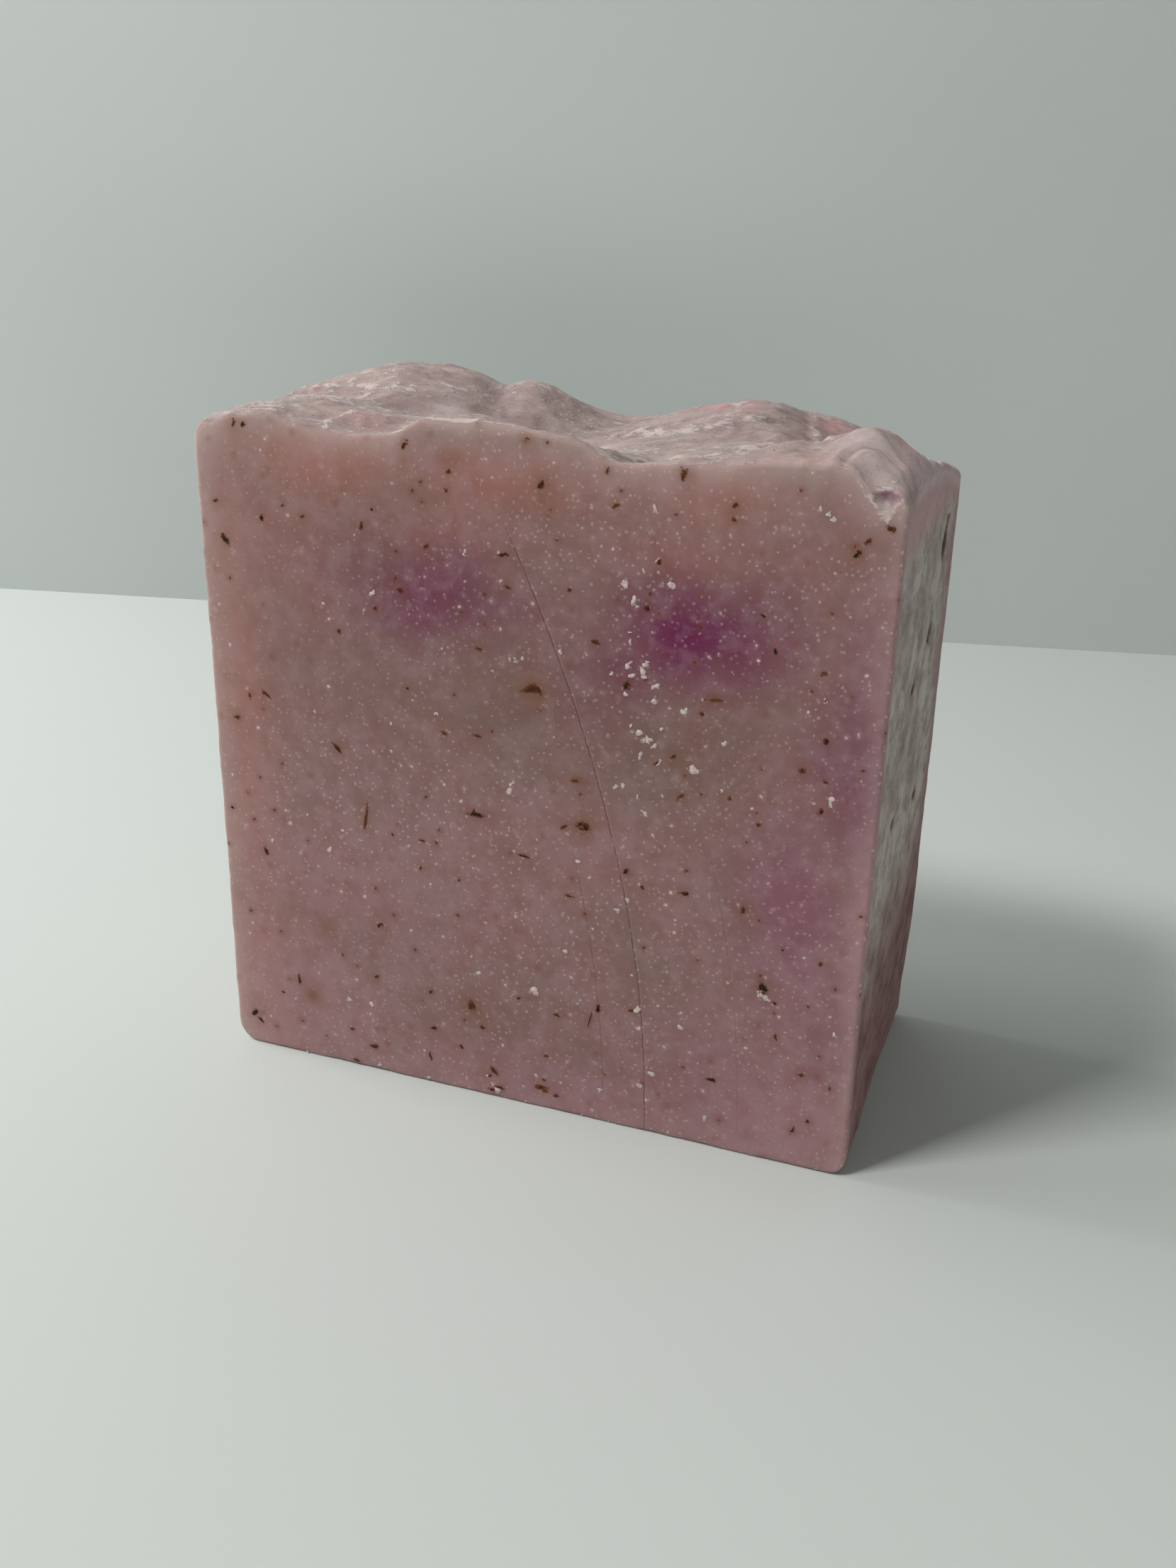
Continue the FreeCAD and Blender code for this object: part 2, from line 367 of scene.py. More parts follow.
def wear_cut_edges(x, y, z):
    """Round the edges between the two cuts and the outline. The round's radius wavers
    along the edge, most along the back cut, where it is also larger in ragged places."""
    at_back = y > THICKNESS / 2
    place = np.stack([x, np.where(at_back, 40.0, 0.0), z], -1)
    waver = folds.at(place, 2.6) * np.where(at_back, 0.5, 0.22) + 0.1 * grit.at(place, 0.8)
    waver = 1 + waver + 0.5 * at_back * np.maximum(grit.layers(place, 2.0, 2), 0)
    for cut, edge_round in ((0.0, FRONT_EDGE_ROUND), (THICKNESS, BACK_EDGE_ROUND)):
        depth, out_x, out_z = outline_depth(x, z)
        radius = edge_round * waver
        from_cut = np.abs(y - cut)
        near_wall = np.clip(1 - depth / radius, 0, 1)
        near_cut = np.clip(1 - from_cut / radius, 0, 1)
        inside = (near_wall > 0) & (near_cut > 0)
        round_wall, round_cut = square_to_round(near_wall, near_cut)
        shift = np.where(inside, radius * (near_wall - round_wall), 0)
        x, z = x - out_x * shift, z - out_z * shift
        inward = np.sign(THICKNESS / 2 - cut)
        y = np.where(inside, cut + inward * radius * (1 - round_cut), y)
    return x, y, z


# Pits of the right mould wall: place from the front cut and from the base, half
# breadth, half height and depth of each
WALL_PITS = (
    (22.4, 50.7, 1.6, 0.85, 0.7), (14.9, 47.1, 1.15, 0.8, 0.6), (12.4, 42.3, 1.1, 0.8, 0.45),
    (23.7, 32.7, 1.5, 0.75, 0.6), (29.6, 33.7, 0.9, 0.6, 0.35), (26.6, 58.9, 1.6, 1.7, 0.6),
    (27.6, 61.2, 1.6, 0.5, 0.4), (23, 61.2, 1, 0.5, 0.35), (10.3, 34.8, 1.2, 0.7, 0.25),
    (22.3, 36, 0.8, 0.5, 0.3), (30.7, 54.6, 0.7, 0.45, 0.3), (4.2, 47.2, 1.3, 0.5, 0.15),
    (17.6, 41.2, 0.8, 0.35, 0.2), (15.9, 52.3, 0.8, 0.5, 0.15), (8.5, 39.4, 1, 0.5, 0.12),
)

# Depth from which a pit is wholly dark
DARK_PIT_DEPTH = 0.35


def pit_depth(y, z):
    """Depth of the right wall's pits: each is its depth times exp(-r^4), with r the
    distance from its centre as a share of its half sizes, so its walls are steep."""
    total = np.zeros(y.shape)
    place = np.stack([y, z, 0 * y], -1)
    wobble_y = y + 0.22 * folds.at(place, 0.9)
    wobble_z = z + 0.3 * folds.at(place + 9, 1.1)
    for centre_y, centre_z, breadth, height, depth in WALL_PITS:
        radius = ((wobble_y - centre_y) / breadth) ** 2 + ((wobble_z - centre_z) / height) ** 2
        total = np.maximum(total, depth * np.exp(-radius ** 2))
    return total


def wall_streaks(y, z):
    """Relief of a mould wall's rough skin, from -1 to 1."""
    return streaks.layers(np.stack([y, z / 1.5, 0 * y], -1), 1.8, 4)


def chip_radius(points):
    """How far each point lies from the chip's middle, as a share of the way to the
    notch's wall: (|u|^p + |v|^p + |w|^p)^(1/p) along its half sizes, made ragged."""
    away = np.abs(points - np.array(CHIP_CENTRE)) / np.array(CHIP_HALVES)
    radius = (away ** CHIP_POWER).sum(-1) ** (1 / CHIP_POWER)
    return radius * (1 + 0.16 * folds.at(points, 1.1) + 0.1 * grit.at(points, 0.45))


def chip_scoop(points):
    """Push what lies inside the chip's notch back to its wall, rearwards and down. The
    wall is found by halving the stretch that it must lie in. Also says which points
    moved."""
    inside = chip_radius(points) < 1
    away = points - np.array(CHIP_CENTRE)
    way = np.stack([away[..., 0] * 0.3, np.abs(away[..., 1]) + 0.6, away[..., 2] - 1.0], -1)
    way = way / np.linalg.norm(way, axis=-1, keepdims=True)
    near, far = np.zeros(len(points)), np.full(len(points), 5.0)
    for _ in range(14):
        middle = (near + far) / 2
        still_in = chip_radius(points + way * middle[:, None]) < 1
        near, far = np.where(still_in, middle, near), np.where(still_in, far, middle)
    moved = points + way * np.where(inside, far, 0)[:, None]
    return moved, inside


def bar_points():
    """Every point of a level bar's skin, in millimetres from its left, front and base,
    and the skin's quads."""
    lines = (graded_places(WIDTH, EDGE_STEPS, EDGE_STEPS, EVEN_STEPS[0]),
             graded_places(THICKNESS, EDGE_STEPS, EDGE_STEPS, EVEN_STEPS[1]),
             graded_places(FILL, BASE_STEPS, TOP_STEPS, EVEN_STEPS[2]))
    triples, quads = lattice_skin([len(places) - 1 for places in lines])
    x, y, z = (places[triples[:, axis]] for axis, places in enumerate(lines))
    return x, y, z, quads


def cut_relief(x, y, z):
    """How far the two cuts lie inside the bar's flat box: slow waves, a fine grain and
    faint lines along the wire's bow. It ends short of the top's edge."""
    place = np.stack([x, 30 * (y > THICKNESS / 2), z], -1)
    waves = from_nought(folds.layers(place, CUT_WAVE, 3))
    grain = from_nought(grit.layers(place, 1.1, 2))
    bowed = x + 18 * (z / WALL_HEIGHT) ** 2
    drag = from_nought(streaks.at(np.stack([bowed, 0 * x, z / 60], -1), 1.4))
    sink = 0.08 + 0.1 * waves + 0.03 * grain + 0.02 * drag
    near_cut = smooth(FACE_DEPTH, 0.0, np.minimum(y, THICKNESS - y))
    return near_cut * sink * smooth(0, 1.5, FILL + 2 - z)


def wall_relief(x, y, z):
    """How far the two mould walls lie inside the bar's flat box: a rough skin, a bow
    that is deepest halfway up, the tuck at the right wall's rear foot, and pits. Also
    gives the pits alone."""
    at_right = x > WIDTH / 2
    near_wall = smooth(FACE_DEPTH, 0.0, np.minimum(x, WIDTH - x)) * smooth(FILL, FILL - 3, z)
    streak = from_nought(wall_streaks(y + 50 * (x < WIDTH / 2), z))
    half = WALL_HEIGHT / 2
    bow = 0.05 * (1 - ((z - half) / half) ** 2)
    tuck = 0.5 * smooth(16, 2, z) * smooth(4, 20, y) * at_right
    pits = np.where(at_right, pit_depth(y, z), 0.55 * pit_depth(THICKNESS - y + 3, 78 - z))
    return near_wall * (0.01 + 0.1 * streak ** 2 + bow + tuck + pits), pits * near_wall


def shape_bar():
    """The finished skin: the lattice box, lifted to the swirled top in its upper part,
    rounded at the base corners and the cut edges, then worn, pitted and chipped. Also
    gives which points the chip moved, how deep each lies in a pit, and each one's place
    in plan on the level bar."""
    x, y, z, quads = bar_points()
    plan = (x, y)
    lift = smooth(FILL - LIFT_ZONE, FILL, z)
    x, z = round_base_corners(x, z + (top_height(x, y) - FILL) * lift)
    x, y, z = wear_cut_edges(x, y, z)
    points = np.stack([x, y, z], -1)
    points[:, 1] += np.sign(THICKNESS / 2 - y) * cut_relief(x, y, z)
    sunk, pits = wall_relief(x, y, z)
    points[:, 0] += np.sign(WIDTH / 2 - x) * sunk
    points, chipped = chip_scoop(points)
    points[:, 2] = np.clip(points[:, 2], 0, TOP_LIMIT)
    return points, quads, chipped, pits, plan


# Blooms of dye seen on the front cut: place across and up, half breadth, half height
# and strength
DYE_BLOOMS = {
    "magenta": (
        (52.2, 54.9, 8.6, 5, 1), (45.2, 51.2, 4.4, 4.2, 0.55), (25.2, 55.6, 9, 4.8, 0.74),
        (34, 55, 6, 2.8, 0.3), (42, 47, 6, 4, 0.25), (63, 29, 6, 11, 0.42), (67, 44, 3.8, 10, 0.6),
        (67, 18, 4.5, 10, 0.3), (67.5, 55, 2.6, 6, 0.3), (56, 8, 13, 6, 0.15),
        (40, 4, 14, 3.5, 0.1), (19, 52.5, 5, 3.4, 0.25),
    ),
    "salmon": (
        (14, 68, 12, 4.5, 0.9), (33, 67, 12, 4, 0.75), (54, 67.5, 9, 3.5, 0.6),
        (3, 40, 4, 34, 0.75), (3, 12, 5, 16, 0.6), (28, 62.5, 12, 3, 0.4), (50, 62.5, 12, 3, 0.4),
        (9, 60, 8, 8, 0.35),
    ),
    "rose": (
        (64, 27, 5.5, 17, 0.65), (62, 5, 12, 10, 0.75), (40, 2, 26, 4, 0.5),
        (69.5, 28, 2.2, 26, 0.8), (10, 8, 12, 9, 0.5), (18, 24, 16, 12, 0.3), (45, 30, 16, 7, 0.2),
    ),
    "olive": (
        (33, 45, 12, 7, 0.8), (50, 42, 9, 7, 0.9), (57, 47, 6, 8, 0.5), (20, 42, 9, 8, 0.5),
        (31, 9, 5, 4, 0.5), (45, 22, 6, 5, 0.35), (20, 60, 8, 5, 0.4), (43, 65, 6, 4, 0.4),
        (44.5, 49.5, 3, 3, 0.6),
    ),
}

# The blooms that lie only near the cuts, and how deep they reach
SHALLOW_DYES, DYE_DEPTH = ("magenta", "olive"), 5.0

# Patches of colour on the top, partly pink skin and partly painted light on shaded slopes
# by the right wall: place in plan, half breadth, half length and strength
BLUSHES_AND_PAINTED_LIGHT = (
    # The two by the right wall, (68.4, 10) and (69, 30), are painted light on shaded slopes
    (58.2, 26, 2, 5, 1), (57, 21, 1.5, 3, 0.4), (68.4, 10, 1.6, 4.5, 0.8),
    (47.2, 22, 1.6, 1.4, 0.9), (44.5, 30.5, 2.5, 2.5, 0.7), (50, 28, 2.5, 4, 0.4),
    (64.5, 0, 9, 1.6, 0.3), (50.8, 20, 1.8, 2, 0.5), (17.5, 4, 3, 1.6, 0.5), (29, 28, 4, 4, 0.3),
    (5, 25, 5, 5, 0.25), (69, 30, 2.5, 4, 0.5),
)


# Strokes of white ash on the top, and one stroke of painted light: place in plan, half
# length, half breadth, turn in degrees and strength
STROKES = (
    (16.5, 14.7, 1.1, 0.6, 25, 1), (20.2, 17.1, 2.2, 0.8, 20, 1.1), (14.5, 10.9, 0.9, 0.8, 0, 1),
    (15.2, 5.9, 0.7, 0.5, 0, 0.8), (24.2, 0.3, 1, 0.6, 10, 1.1), (45, 24.6, 1.7, 1, -50, 1),
    (48.5, 22.7, 1.3, 0.9, 20, 0.9), (45.6, 15.1, 1.5, 0.7, 10, 1.1),
    (44.4, 14.5, 1.1, 0.6, -8, 0.9), (41.8, 15.6, 1.4, 0.7, -25, 0.9), (52.9, 6.5, 2, 0.6, -35, 1),
    (54.1, 9.8, 1.4, 0.6, 60, 0.8), (45, 2.4, 1.2, 2, 0, 0.8), (49.4, 16.4, 1.2, 1, 20, 0.7),
    (52, 17.3, 1, 0.5, 30, 0.8), (31, 1.6, 7, 0.5, 4, 0.7), (7, 12, 3, 1.2, -20, 0.7),
    (10.5, 19, 4, 1.2, 10, 0.7), (16, 23, 4, 1.3, 15, 0.7), (29.5, 23.5, 2, 1.2, 20, 0.7),
    (50.5, 10.5, 4, 0.7, 5, 0.7), (54.8, 17, 1.4, 3.5, 0, 0.6), (60, 12, 2.5, 1, -40, 0.7),
    # (42, 1.2) is not ash but painted light on the shaded right flank of the front tongue
    (63, 20, 3, 1, 30, 0.6), (42, 1.2, 3.2, 1.2, -10, 1.2), (38, 24, 5, 1.2, 10, 0.6),
    (24, 28, 3, 1.2, 40, 0.6), (46, 30, 4, 1, -10, 0.6),
)

# Granular patches of the top, one of them painted light: place in plan, half breadth, half
# length and strength
GRANULES = (
    (32.1, 21.6, 2.4, 2.4, 1), (35.5, 18.8, 2.4, 1.7, 1), (38.5, 17.6, 2.2, 1.5, 0.9),
    (23.8, 20.3, 1.3, 3.5, 0.9), (24.4, 0.4, 1, 0.9, 1), (9.5, 10.8, 3, 1.3, 0.8),
    # (45, 1.8) is painted light that whitens the shaded right flank of the front tongue
    (45, 1.8, 2.5, 1.6, 0.6), (42.5, 13.5, 2.5, 1.5, 0.6), (59, 15, 1.6, 3, 0.5),
)


def strokes(x, y):
    """How strongly the white strokes cover each place of the top: the largest of each
    one's strength times exp(-u^2 - v^2) along and across it."""
    total = np.zeros(x.shape)
    for middle_x, middle_y, length, breadth, turn, strength in STROKES:
        angle = math.radians(turn)
        away_x, away_y = x - middle_x, y - middle_y
        along = (away_x * math.cos(angle) + away_y * math.sin(angle)) / length
        beside = (away_y * math.cos(angle) - away_x * math.sin(angle)) / breadth
        total = np.maximum(total, strength * np.exp(-along ** 2 - beside ** 2))
    return total


def blooms(x, z, places):
    """Strength of soft blooms: the largest of each one's strength times exp(-r^2),
    with r the distance as a share of its half sizes, on a slightly warped plane."""
    warp = np.stack([x, 0 * x, z], -1)
    x = x + 1.1 * folds.layers(warp, 5.0, 3)
    z = z + 1.1 * folds.layers(warp + 31, 5.0, 3)
    total = np.zeros(x.shape)
    for across, up, breadth, height, strength in places:
        radius = ((x - across) / breadth) ** 2 + ((z - up) / height) ** 2
        total = np.maximum(total, strength * np.exp(-radius))
    return total


# Herb flecks of the front cut: place across and up, length, breadth, turn in degrees,
# and how dark the fleck is, from 0 for orange brown to 1 for near black
FLECKS = (
    (4.8, 70.3, 0.7, 0.3, 80, 0.4), (5.9, 70.2, 0.6, 0.4, 60, 0.6),
    (22.95, 69.6, 0.7, 0.6, 80, 0.7), (35.4, 71.3, 0.6, 0.5, 30, 0.2),
    (50.15, 69.5, 1.1, 0.45, 95, 0.25), (55, 67.1, 0.5, 0.4, 30, 0.5),
    (54.9, 65.9, 0.4, 0.3, 0, 0.3), (36.7, 67.2, 0.8, 0.5, 40, 0.7),
    (27.2, 65.8, 0.4, 0.35, 0, 0.6), (27.6, 67.6, 0.4, 0.3, 20, 0.4),
    (2.1, 62.4, 0.5, 0.35, 0, 0.5), (7.3, 61.2, 0.7, 0.5, 70, 1), (11.8, 61.8, 0.6, 0.4, 20, 0.6),
    (18.2, 61.5, 0.6, 0.4, 70, 0.7), (19.4, 63.2, 0.35, 0.25, 80, 0.9),
    (9.7, 62.7, 0.35, 0.25, 60, 0.6), (2.9, 58.6, 0.8, 0.5, 120, 0.9),
    (33, 60.3, 0.9, 0.35, 5, 0.8), (25, 60.2, 0.7, 0.3, 40, 0.5), (22.1, 55.6, 0.6, 0.35, 10, 0.5),
    (48.2, 61.4, 0.6, 0.4, 60, 0.5), (43.9, 66, 0.5, 0.3, 20, 0.4),
    (43.05, 69, 0.7, 0.25, 85, 0.3), (65.9, 63.9, 0.6, 0.4, 40, 1),
    (66.2, 64.1, 0.4, 0.3, 120, 0.8), (68.7, 66.4, 0.6, 0.5, 20, 0.6),
    (66.8, 65.2, 0.6, 0.4, 10, 0.4), (47.3, 56.9, 0.6, 0.4, 0, 0.7),
    (58.1, 57.5, 0.5, 0.3, 150, 0.8), (59.4, 54.4, 0.35, 0.3, 90, 1),
    (33.4, 57.2, 0.5, 0.25, 160, 0.5), (39.7, 57.7, 0.35, 0.25, 0, 0.6),
    (42.2, 53, 0.7, 0.3, 0, 0.6), (64, 52.9, 0.5, 0.3, 30, 0.4), (15.3, 50.6, 0.5, 0.3, 120, 0.6),
    (19.4, 53.4, 0.5, 0.3, 140, 0.4), (30.4, 50.7, 0.5, 0.3, 10, 0.5),
    (36, 47.4, 1.5, 0.7, 15, 0.7), (45.5, 49.3, 1.1, 0.5, 70, 0.9),
    (53.9, 48.9, 1.5, 0.25, 8, 0.3), (52.9, 47.4, 0.5, 0.4, 20, 0.5),
    (64.7, 46.5, 0.5, 0.4, 60, 0.8), (64.3, 50.3, 0.4, 0.3, 90, 0.5),
    (6.4, 42.7, 1, 0.3, 145, 0.7), (4.5, 42.4, 0.6, 0.3, 100, 0.3),
    (22.7, 45.6, 0.35, 0.3, 150, 0.8), (30.2, 41.7, 0.7, 0.25, 165, 0.4),
    (26.6, 41.5, 0.5, 0.2, 160, 0.4), (50.4, 42.8, 0.5, 0.3, 50, 0.7),
    (48.7, 41.8, 0.7, 0.3, 45, 0.6), (62.7, 43.3, 0.6, 0.4, 10, 0.5),
    (64.9, 42.5, 0.4, 0.25, 150, 0.6), (64.9, 39.6, 0.7, 0.5, 60, 0.8),
    (51.1, 38.7, 0.9, 0.25, 45, 0.4), (56, 39.4, 0.6, 0.25, 75, 0.3),
    (58.9, 37.2, 0.6, 0.3, 20, 0.4), (2.8, 39.6, 0.6, 0.35, 0, 0.4),
    (14.5, 37.9, 1.2, 0.4, 150, 0.7), (40.5, 38.7, 0.7, 0.5, 0, 0.35),
    (41.2, 34.1, 0.9, 0.6, 30, 1), (41.7, 33.8, 0.8, 0.5, 110, 0.9),
    (41.3, 33.6, 0.5, 0.3, 160, 0.4), (39.5, 33.6, 0.9, 0.2, 30, 0.5), (30, 33.2, 1.8, 0.4, 0, 1),
    (29.6, 33.4, 0.7, 0.35, 60, 0.9), (24.3, 34.2, 0.4, 0.2, 30, 0.6),
    (17.4, 30.8, 1.7, 0.4, 82, 0.3), (1.4, 29.1, 0.25, 0.25, 0, 1),
    (20.4, 29.3, 0.4, 0.2, 150, 0.7), (23.6, 29.2, 0.7, 0.2, 0, 0.7),
    (25.4, 29.3, 0.4, 0.25, 120, 0.8), (35.3, 29.5, 1.5, 0.25, 175, 0.8),
    (45.9, 29.9, 0.6, 0.4, 60, 1), (47.6, 28.5, 0.6, 0.35, 150, 0.7),
    (52.1, 28.6, 1.3, 0.4, 15, 0.8), (57.9, 27.9, 0.7, 0.5, 60, 0.6), (40, 26, 0.9, 0.25, 0, 0.4),
    (23.6, 26, 0.6, 0.25, 85, 0.6), (5.2, 24.6, 1.1, 0.35, 110, 0.7),
    (27.9, 25.4, 0.25, 0.2, 0, 0.7), (62.1, 24.5, 0.3, 0.2, 0, 1), (65.8, 23.7, 0.5, 0.4, 0, 0.4),
    (60.2, 20.1, 0.8, 0.4, 60, 1), (60.6, 19.8, 0.9, 0.5, 110, 1), (60.3, 19.3, 0.5, 0.3, 20, 0.5),
    (61.7, 18.5, 0.4, 0.3, 0, 0.6), (18.5, 18.3, 0.5, 0.35, 60, 1),
    (18.8, 18.5, 0.4, 0.25, 150, 0.6), (34.5, 12.9, 0.7, 0.35, 20, 0.8),
    (43.4, 13.7, 0.8, 0.5, 60, 1), (42.5, 12.1, 1.2, 0.15, 75, 0.8), (47, 14.3, 0.5, 0.3, 0, 0.5),
    (38.9, 11.9, 0.6, 0.3, 165, 0.7), (18, 11.9, 0.5, 0.3, 20, 0.6),
    (24.4, 11.5, 0.4, 0.25, 40, 0.7), (62, 14.7, 0.6, 0.3, 110, 0.4),
    (29.2, 10.7, 0.9, 0.6, 100, 0.6), (8.4, 9.4, 1.2, 0.3, 95, 0.6),
    (30.4, 8.5, 0.5, 0.35, 10, 0.6), (24.6, 7, 0.7, 0.4, 15, 0.8),
    (27.9, 5.5, 0.5, 0.35, 130, 0.7), (37.7, 6.6, 0.5, 0.3, 30, 0.5),
    (55.8, 8.2, 0.9, 0.35, 8, 0.9), (64.8, 11, 0.6, 0.4, 30, 0.5), (67.8, 10.2, 0.5, 0.2, 90, 0.6),
    (65.9, 5.8, 0.5, 0.3, 120, 0.6), (64.5, 4.4, 0.8, 0.2, 70, 0.6), (2.3, 4, 0.9, 0.5, 60, 0.9),
    (3, 3.1, 0.9, 0.3, 140, 0.9), (24.2, 3.4, 0.9, 0.4, 95, 0.6), (17.3, 3, 0.9, 0.35, 0, 0.6),
    (31.7, 3.4, 0.9, 0.5, 110, 0.6), (31.2, 2.6, 0.5, 0.3, 60, 0.7),
    (37.3, 2.5, 0.9, 0.7, 10, 0.25), (37.1, 2.7, 0.5, 0.4, 60, 0.9), (37.5, 3.6, 0.4, 0.3, 0, 0.6),
    (38.9, 1.9, 0.5, 0.25, 0, 0.8), (32.4, 1.3, 1, 0.5, 10, 0.6), (31.6, 0.9, 0.7, 0.4, 170, 0.7),
    (15, 0.6, 0.5, 0.3, 0, 0.5), (6.2, 7.4, 0.3, 0.25, 0, 0.8), (14.6, 4.6, 0.4, 0.25, 0, 0.5),
    (11.4, 2.9, 0.3, 0.2, 0, 0.7),
)

# Stains under the front cut, where a fleck lies deeper or has bled into the soap: place
# across and up, half size, strength
STAINS = (
    (36.2, 47.3, 1.6, 0.8), (36.9, 67.1, 1.3, 0.6), (27.9, 68.6, 1.2, 0.5), (12.4, 16.7, 1.5, 0.6),
    (8.1, 17.9, 1.2, 0.35), (9.9, 7.7, 1.2, 0.9), (29.2, 10.8, 1.4, 0.6), (2.5, 5.6, 1.4, 0.25),
    (41.4, 34, 1.3, 0.8), (60.4, 19.8, 1.3, 0.6), (18.5, 18.4, 1.3, 0.5), (65.9, 64, 1.2, 0.6),
    (47.7, 28.3, 1.5, 0.45), (58, 28, 1.2, 0.5), (9.4, 54.2, 1.3, 0.35), (64.9, 40.2, 1.6, 0.4),
    (62.8, 43.3, 1.2, 0.4), (64.8, 46.5, 1, 0.4), (54.9, 66.4, 1.2, 0.45), (67.4, 65, 1.4, 0.4),
    (33.2, 59.6, 1.8, 0.35), (48.4, 61, 1.2, 0.4), (2.8, 58.6, 0.9, 0.5), (50.6, 69.3, 0.9, 0.5),
    (4.9, 70.1, 1.4, 0.5), (35.4, 71.2, 0.9, 0.6), (38.6, 38.6, 1, 0.2), (2.7, 62.2, 0.9, 0.3),
    (2.6, 39.6, 1, 0.3), (40.8, 27.5, 1.6, 0.25), (23.9, 7.2, 1.2, 0.35), (55.9, 8.2, 1, 0.4),
    (43.4, 13.7, 1, 0.4), (30.4, 33.2, 1.3, 0.35), (50.4, 42.6, 1.2, 0.3), (61, 12, 1, 0.25),
    (35.6, 14.9, 1.1, 0.35), (14.4, 37.9, 0.9, 0.3), (57.3, 20.1, 1, 0.15), (22, 55.6, 1, 0.3),
    (52.5, 45.5, 2.2, 0.22), (42, 8, 1.4, 0.25), (1.6, 18.5, 0.8, 0.3), (64.8, 10.9, 1.1, 0.35),
    (17.2, 66.6, 1.4, 0.22), (66.8, 31.5, 1.6, 0.2), (31.7, 3.2, 1.3, 0.4), (37.3, 2.6, 1.2, 0.5),
)


# Chalky patches of the front cut, by the chip and where crumbs were torn out: place
# across and up, half size, strength
CHALK = (
    (65.2, 70.6, 0.5, 0.8), (65.9, 69.8, 0.6, 0.9), (66.6, 69, 0.6, 1), (67.2, 68.3, 0.6, 1),
    (67.8, 67.7, 0.6, 1), (68.3, 67.1, 0.5, 1), (68.8, 67.8, 0.5, 0.9), (69.3, 68.6, 0.5, 0.8),
    (46.2, 56.9, 0.8, 0.7), (45.4, 59, 0.6, 0.6), (49.5, 59.2, 0.6, 0.7), (46.8, 50.9, 1.1, 0.7),
    (47.5, 51.6, 0.6, 0.8), (48.2, 49.3, 0.6, 0.6), (47.3, 43.9, 1, 0.8), (47.2, 42.3, 0.6, 0.7),
    (48.9, 41.8, 0.5, 0.6), (51.2, 47.5, 0.6, 0.6), (46.2, 45, 0.6, 0.6), (60.6, 18.9, 0.8, 0.7),
    (63.6, 66.9, 0.6, 0.6), (62.9, 67.4, 0.5, 0.5), (47.6, 65.8, 0.6, 0.6), (34.2, 50.2, 0.8, 0.5),
    (65.6, 40.6, 0.5, 0.7), (31.8, 1.4, 0.7, 0.6), (48, 14.3, 0.6, 0.6), (48.1, 5.5, 0.5, 0.7),
    (33.7, 36.8, 0.6, 0.6), (47.7, 36.5, 0.5, 0.6), (52.4, 41.6, 0.5, 0.6), (55.2, 45, 0.5, 0.5),
)


def spots(x, z, places):
    """Strength of small round stains: each is its strength times exp(-r^2)."""
    total = np.zeros(x.shape)
    for across, up, size, strength in places:
        radius = ((x - across) ** 2 + (z - up) ** 2) / size ** 2
        total = np.maximum(total, strength * np.exp(-radius))
    return total


def mesh_object(name, points, quads):
    """A mesh object from points in millimetres on the bar and quads of their numbers."""
    mesh = bpy.data.meshes.new(name)
    mesh.vertices.add(len(points))
    mesh.vertices.foreach_set("co", ((points + ORIGIN) * MM).astype(np.float32).ravel())
    mesh.loops.add(quads.size)
    mesh.loops.foreach_set("vertex_index", quads.astype(np.int32).ravel())
    mesh.polygons.add(len(quads))
    mesh.polygons.foreach_set("loop_start", np.arange(0, quads.size, 4, dtype=np.int32))
    mesh.polygons.foreach_set("use_smooth", np.ones(len(quads), bool))
    mesh.update(calc_edges=True)
    mesh.validate()
    piece = bpy.data.objects.new(name, mesh)
    bpy.context.scene.collection.objects.link(piece)
    return piece


def write_layer(piece, name, values):
    """Keep one number for each point under a name that the material reads."""
    layer = piece.data.attributes.new(name, "FLOAT", "POINT")
    layer.data.foreach_set("value", np.asarray(values, np.float32))


def dye_layers(piece, x, y, z, fade):
    """Blooms of dye, which the back cut shows turned round, and the brown stains under
    the front cut, some of them bled from its flecks."""
    on_front = y < THICKNESS / 2
    across = np.where(on_front, x, WIDTH - x)
    for name, places in DYE_BLOOMS.items():
        strength = blooms(across, z, places)
        write_layer(piece, name, fade * strength if name in SHALLOW_DYES else strength)
    bled = [(across, up, 0.35 + 0.4 * length, 0.6 - 0.25 * dark)
            for across, up, length, breadth, turn, dark in FLECKS]
    stains = np.maximum(spots(x, z, STAINS), spots(x, z, bled))
    write_layer(piece, "stain", np.where(on_front, fade * stains, 0))


def top_ash(x, y):
    """How ashy each place of the top is: more on crests, crumbs and stirred ridges, and
    most in the white strokes and along the chalky rim of the front cut."""
    _, crest = ledge_relief(x, y)
    patches = from_nought(folds.layers(np.stack([x / 1.8, y, 0 * x + 60], -1), 4.0, 3))
    ash = (0.45 * patches + 0.5 * crest + 0.15 * smooth(0.0, 0.8, stirred_relief(x, y))
           + 0.3 * smooth(0.1, 0.7, crumbled_relief(x, y)))
    ragged = from_nought(grit.layers(np.stack([x, 0 * x + 70, 0 * x], -1), 3.0, 3))
    rim = bell(y - 0.3, 0.35) * smooth(0.1, 0.8, ragged + 0.4 * bell(x - 28, 5))
    share = 0.45 + 0.55 * smooth(21, 24, x) * smooth(45, 38, x)
    ash = np.maximum(ash, share * rim * smooth(62, 56, x) * smooth(3, 7, x))
    return np.maximum(ash, strokes(x, y))


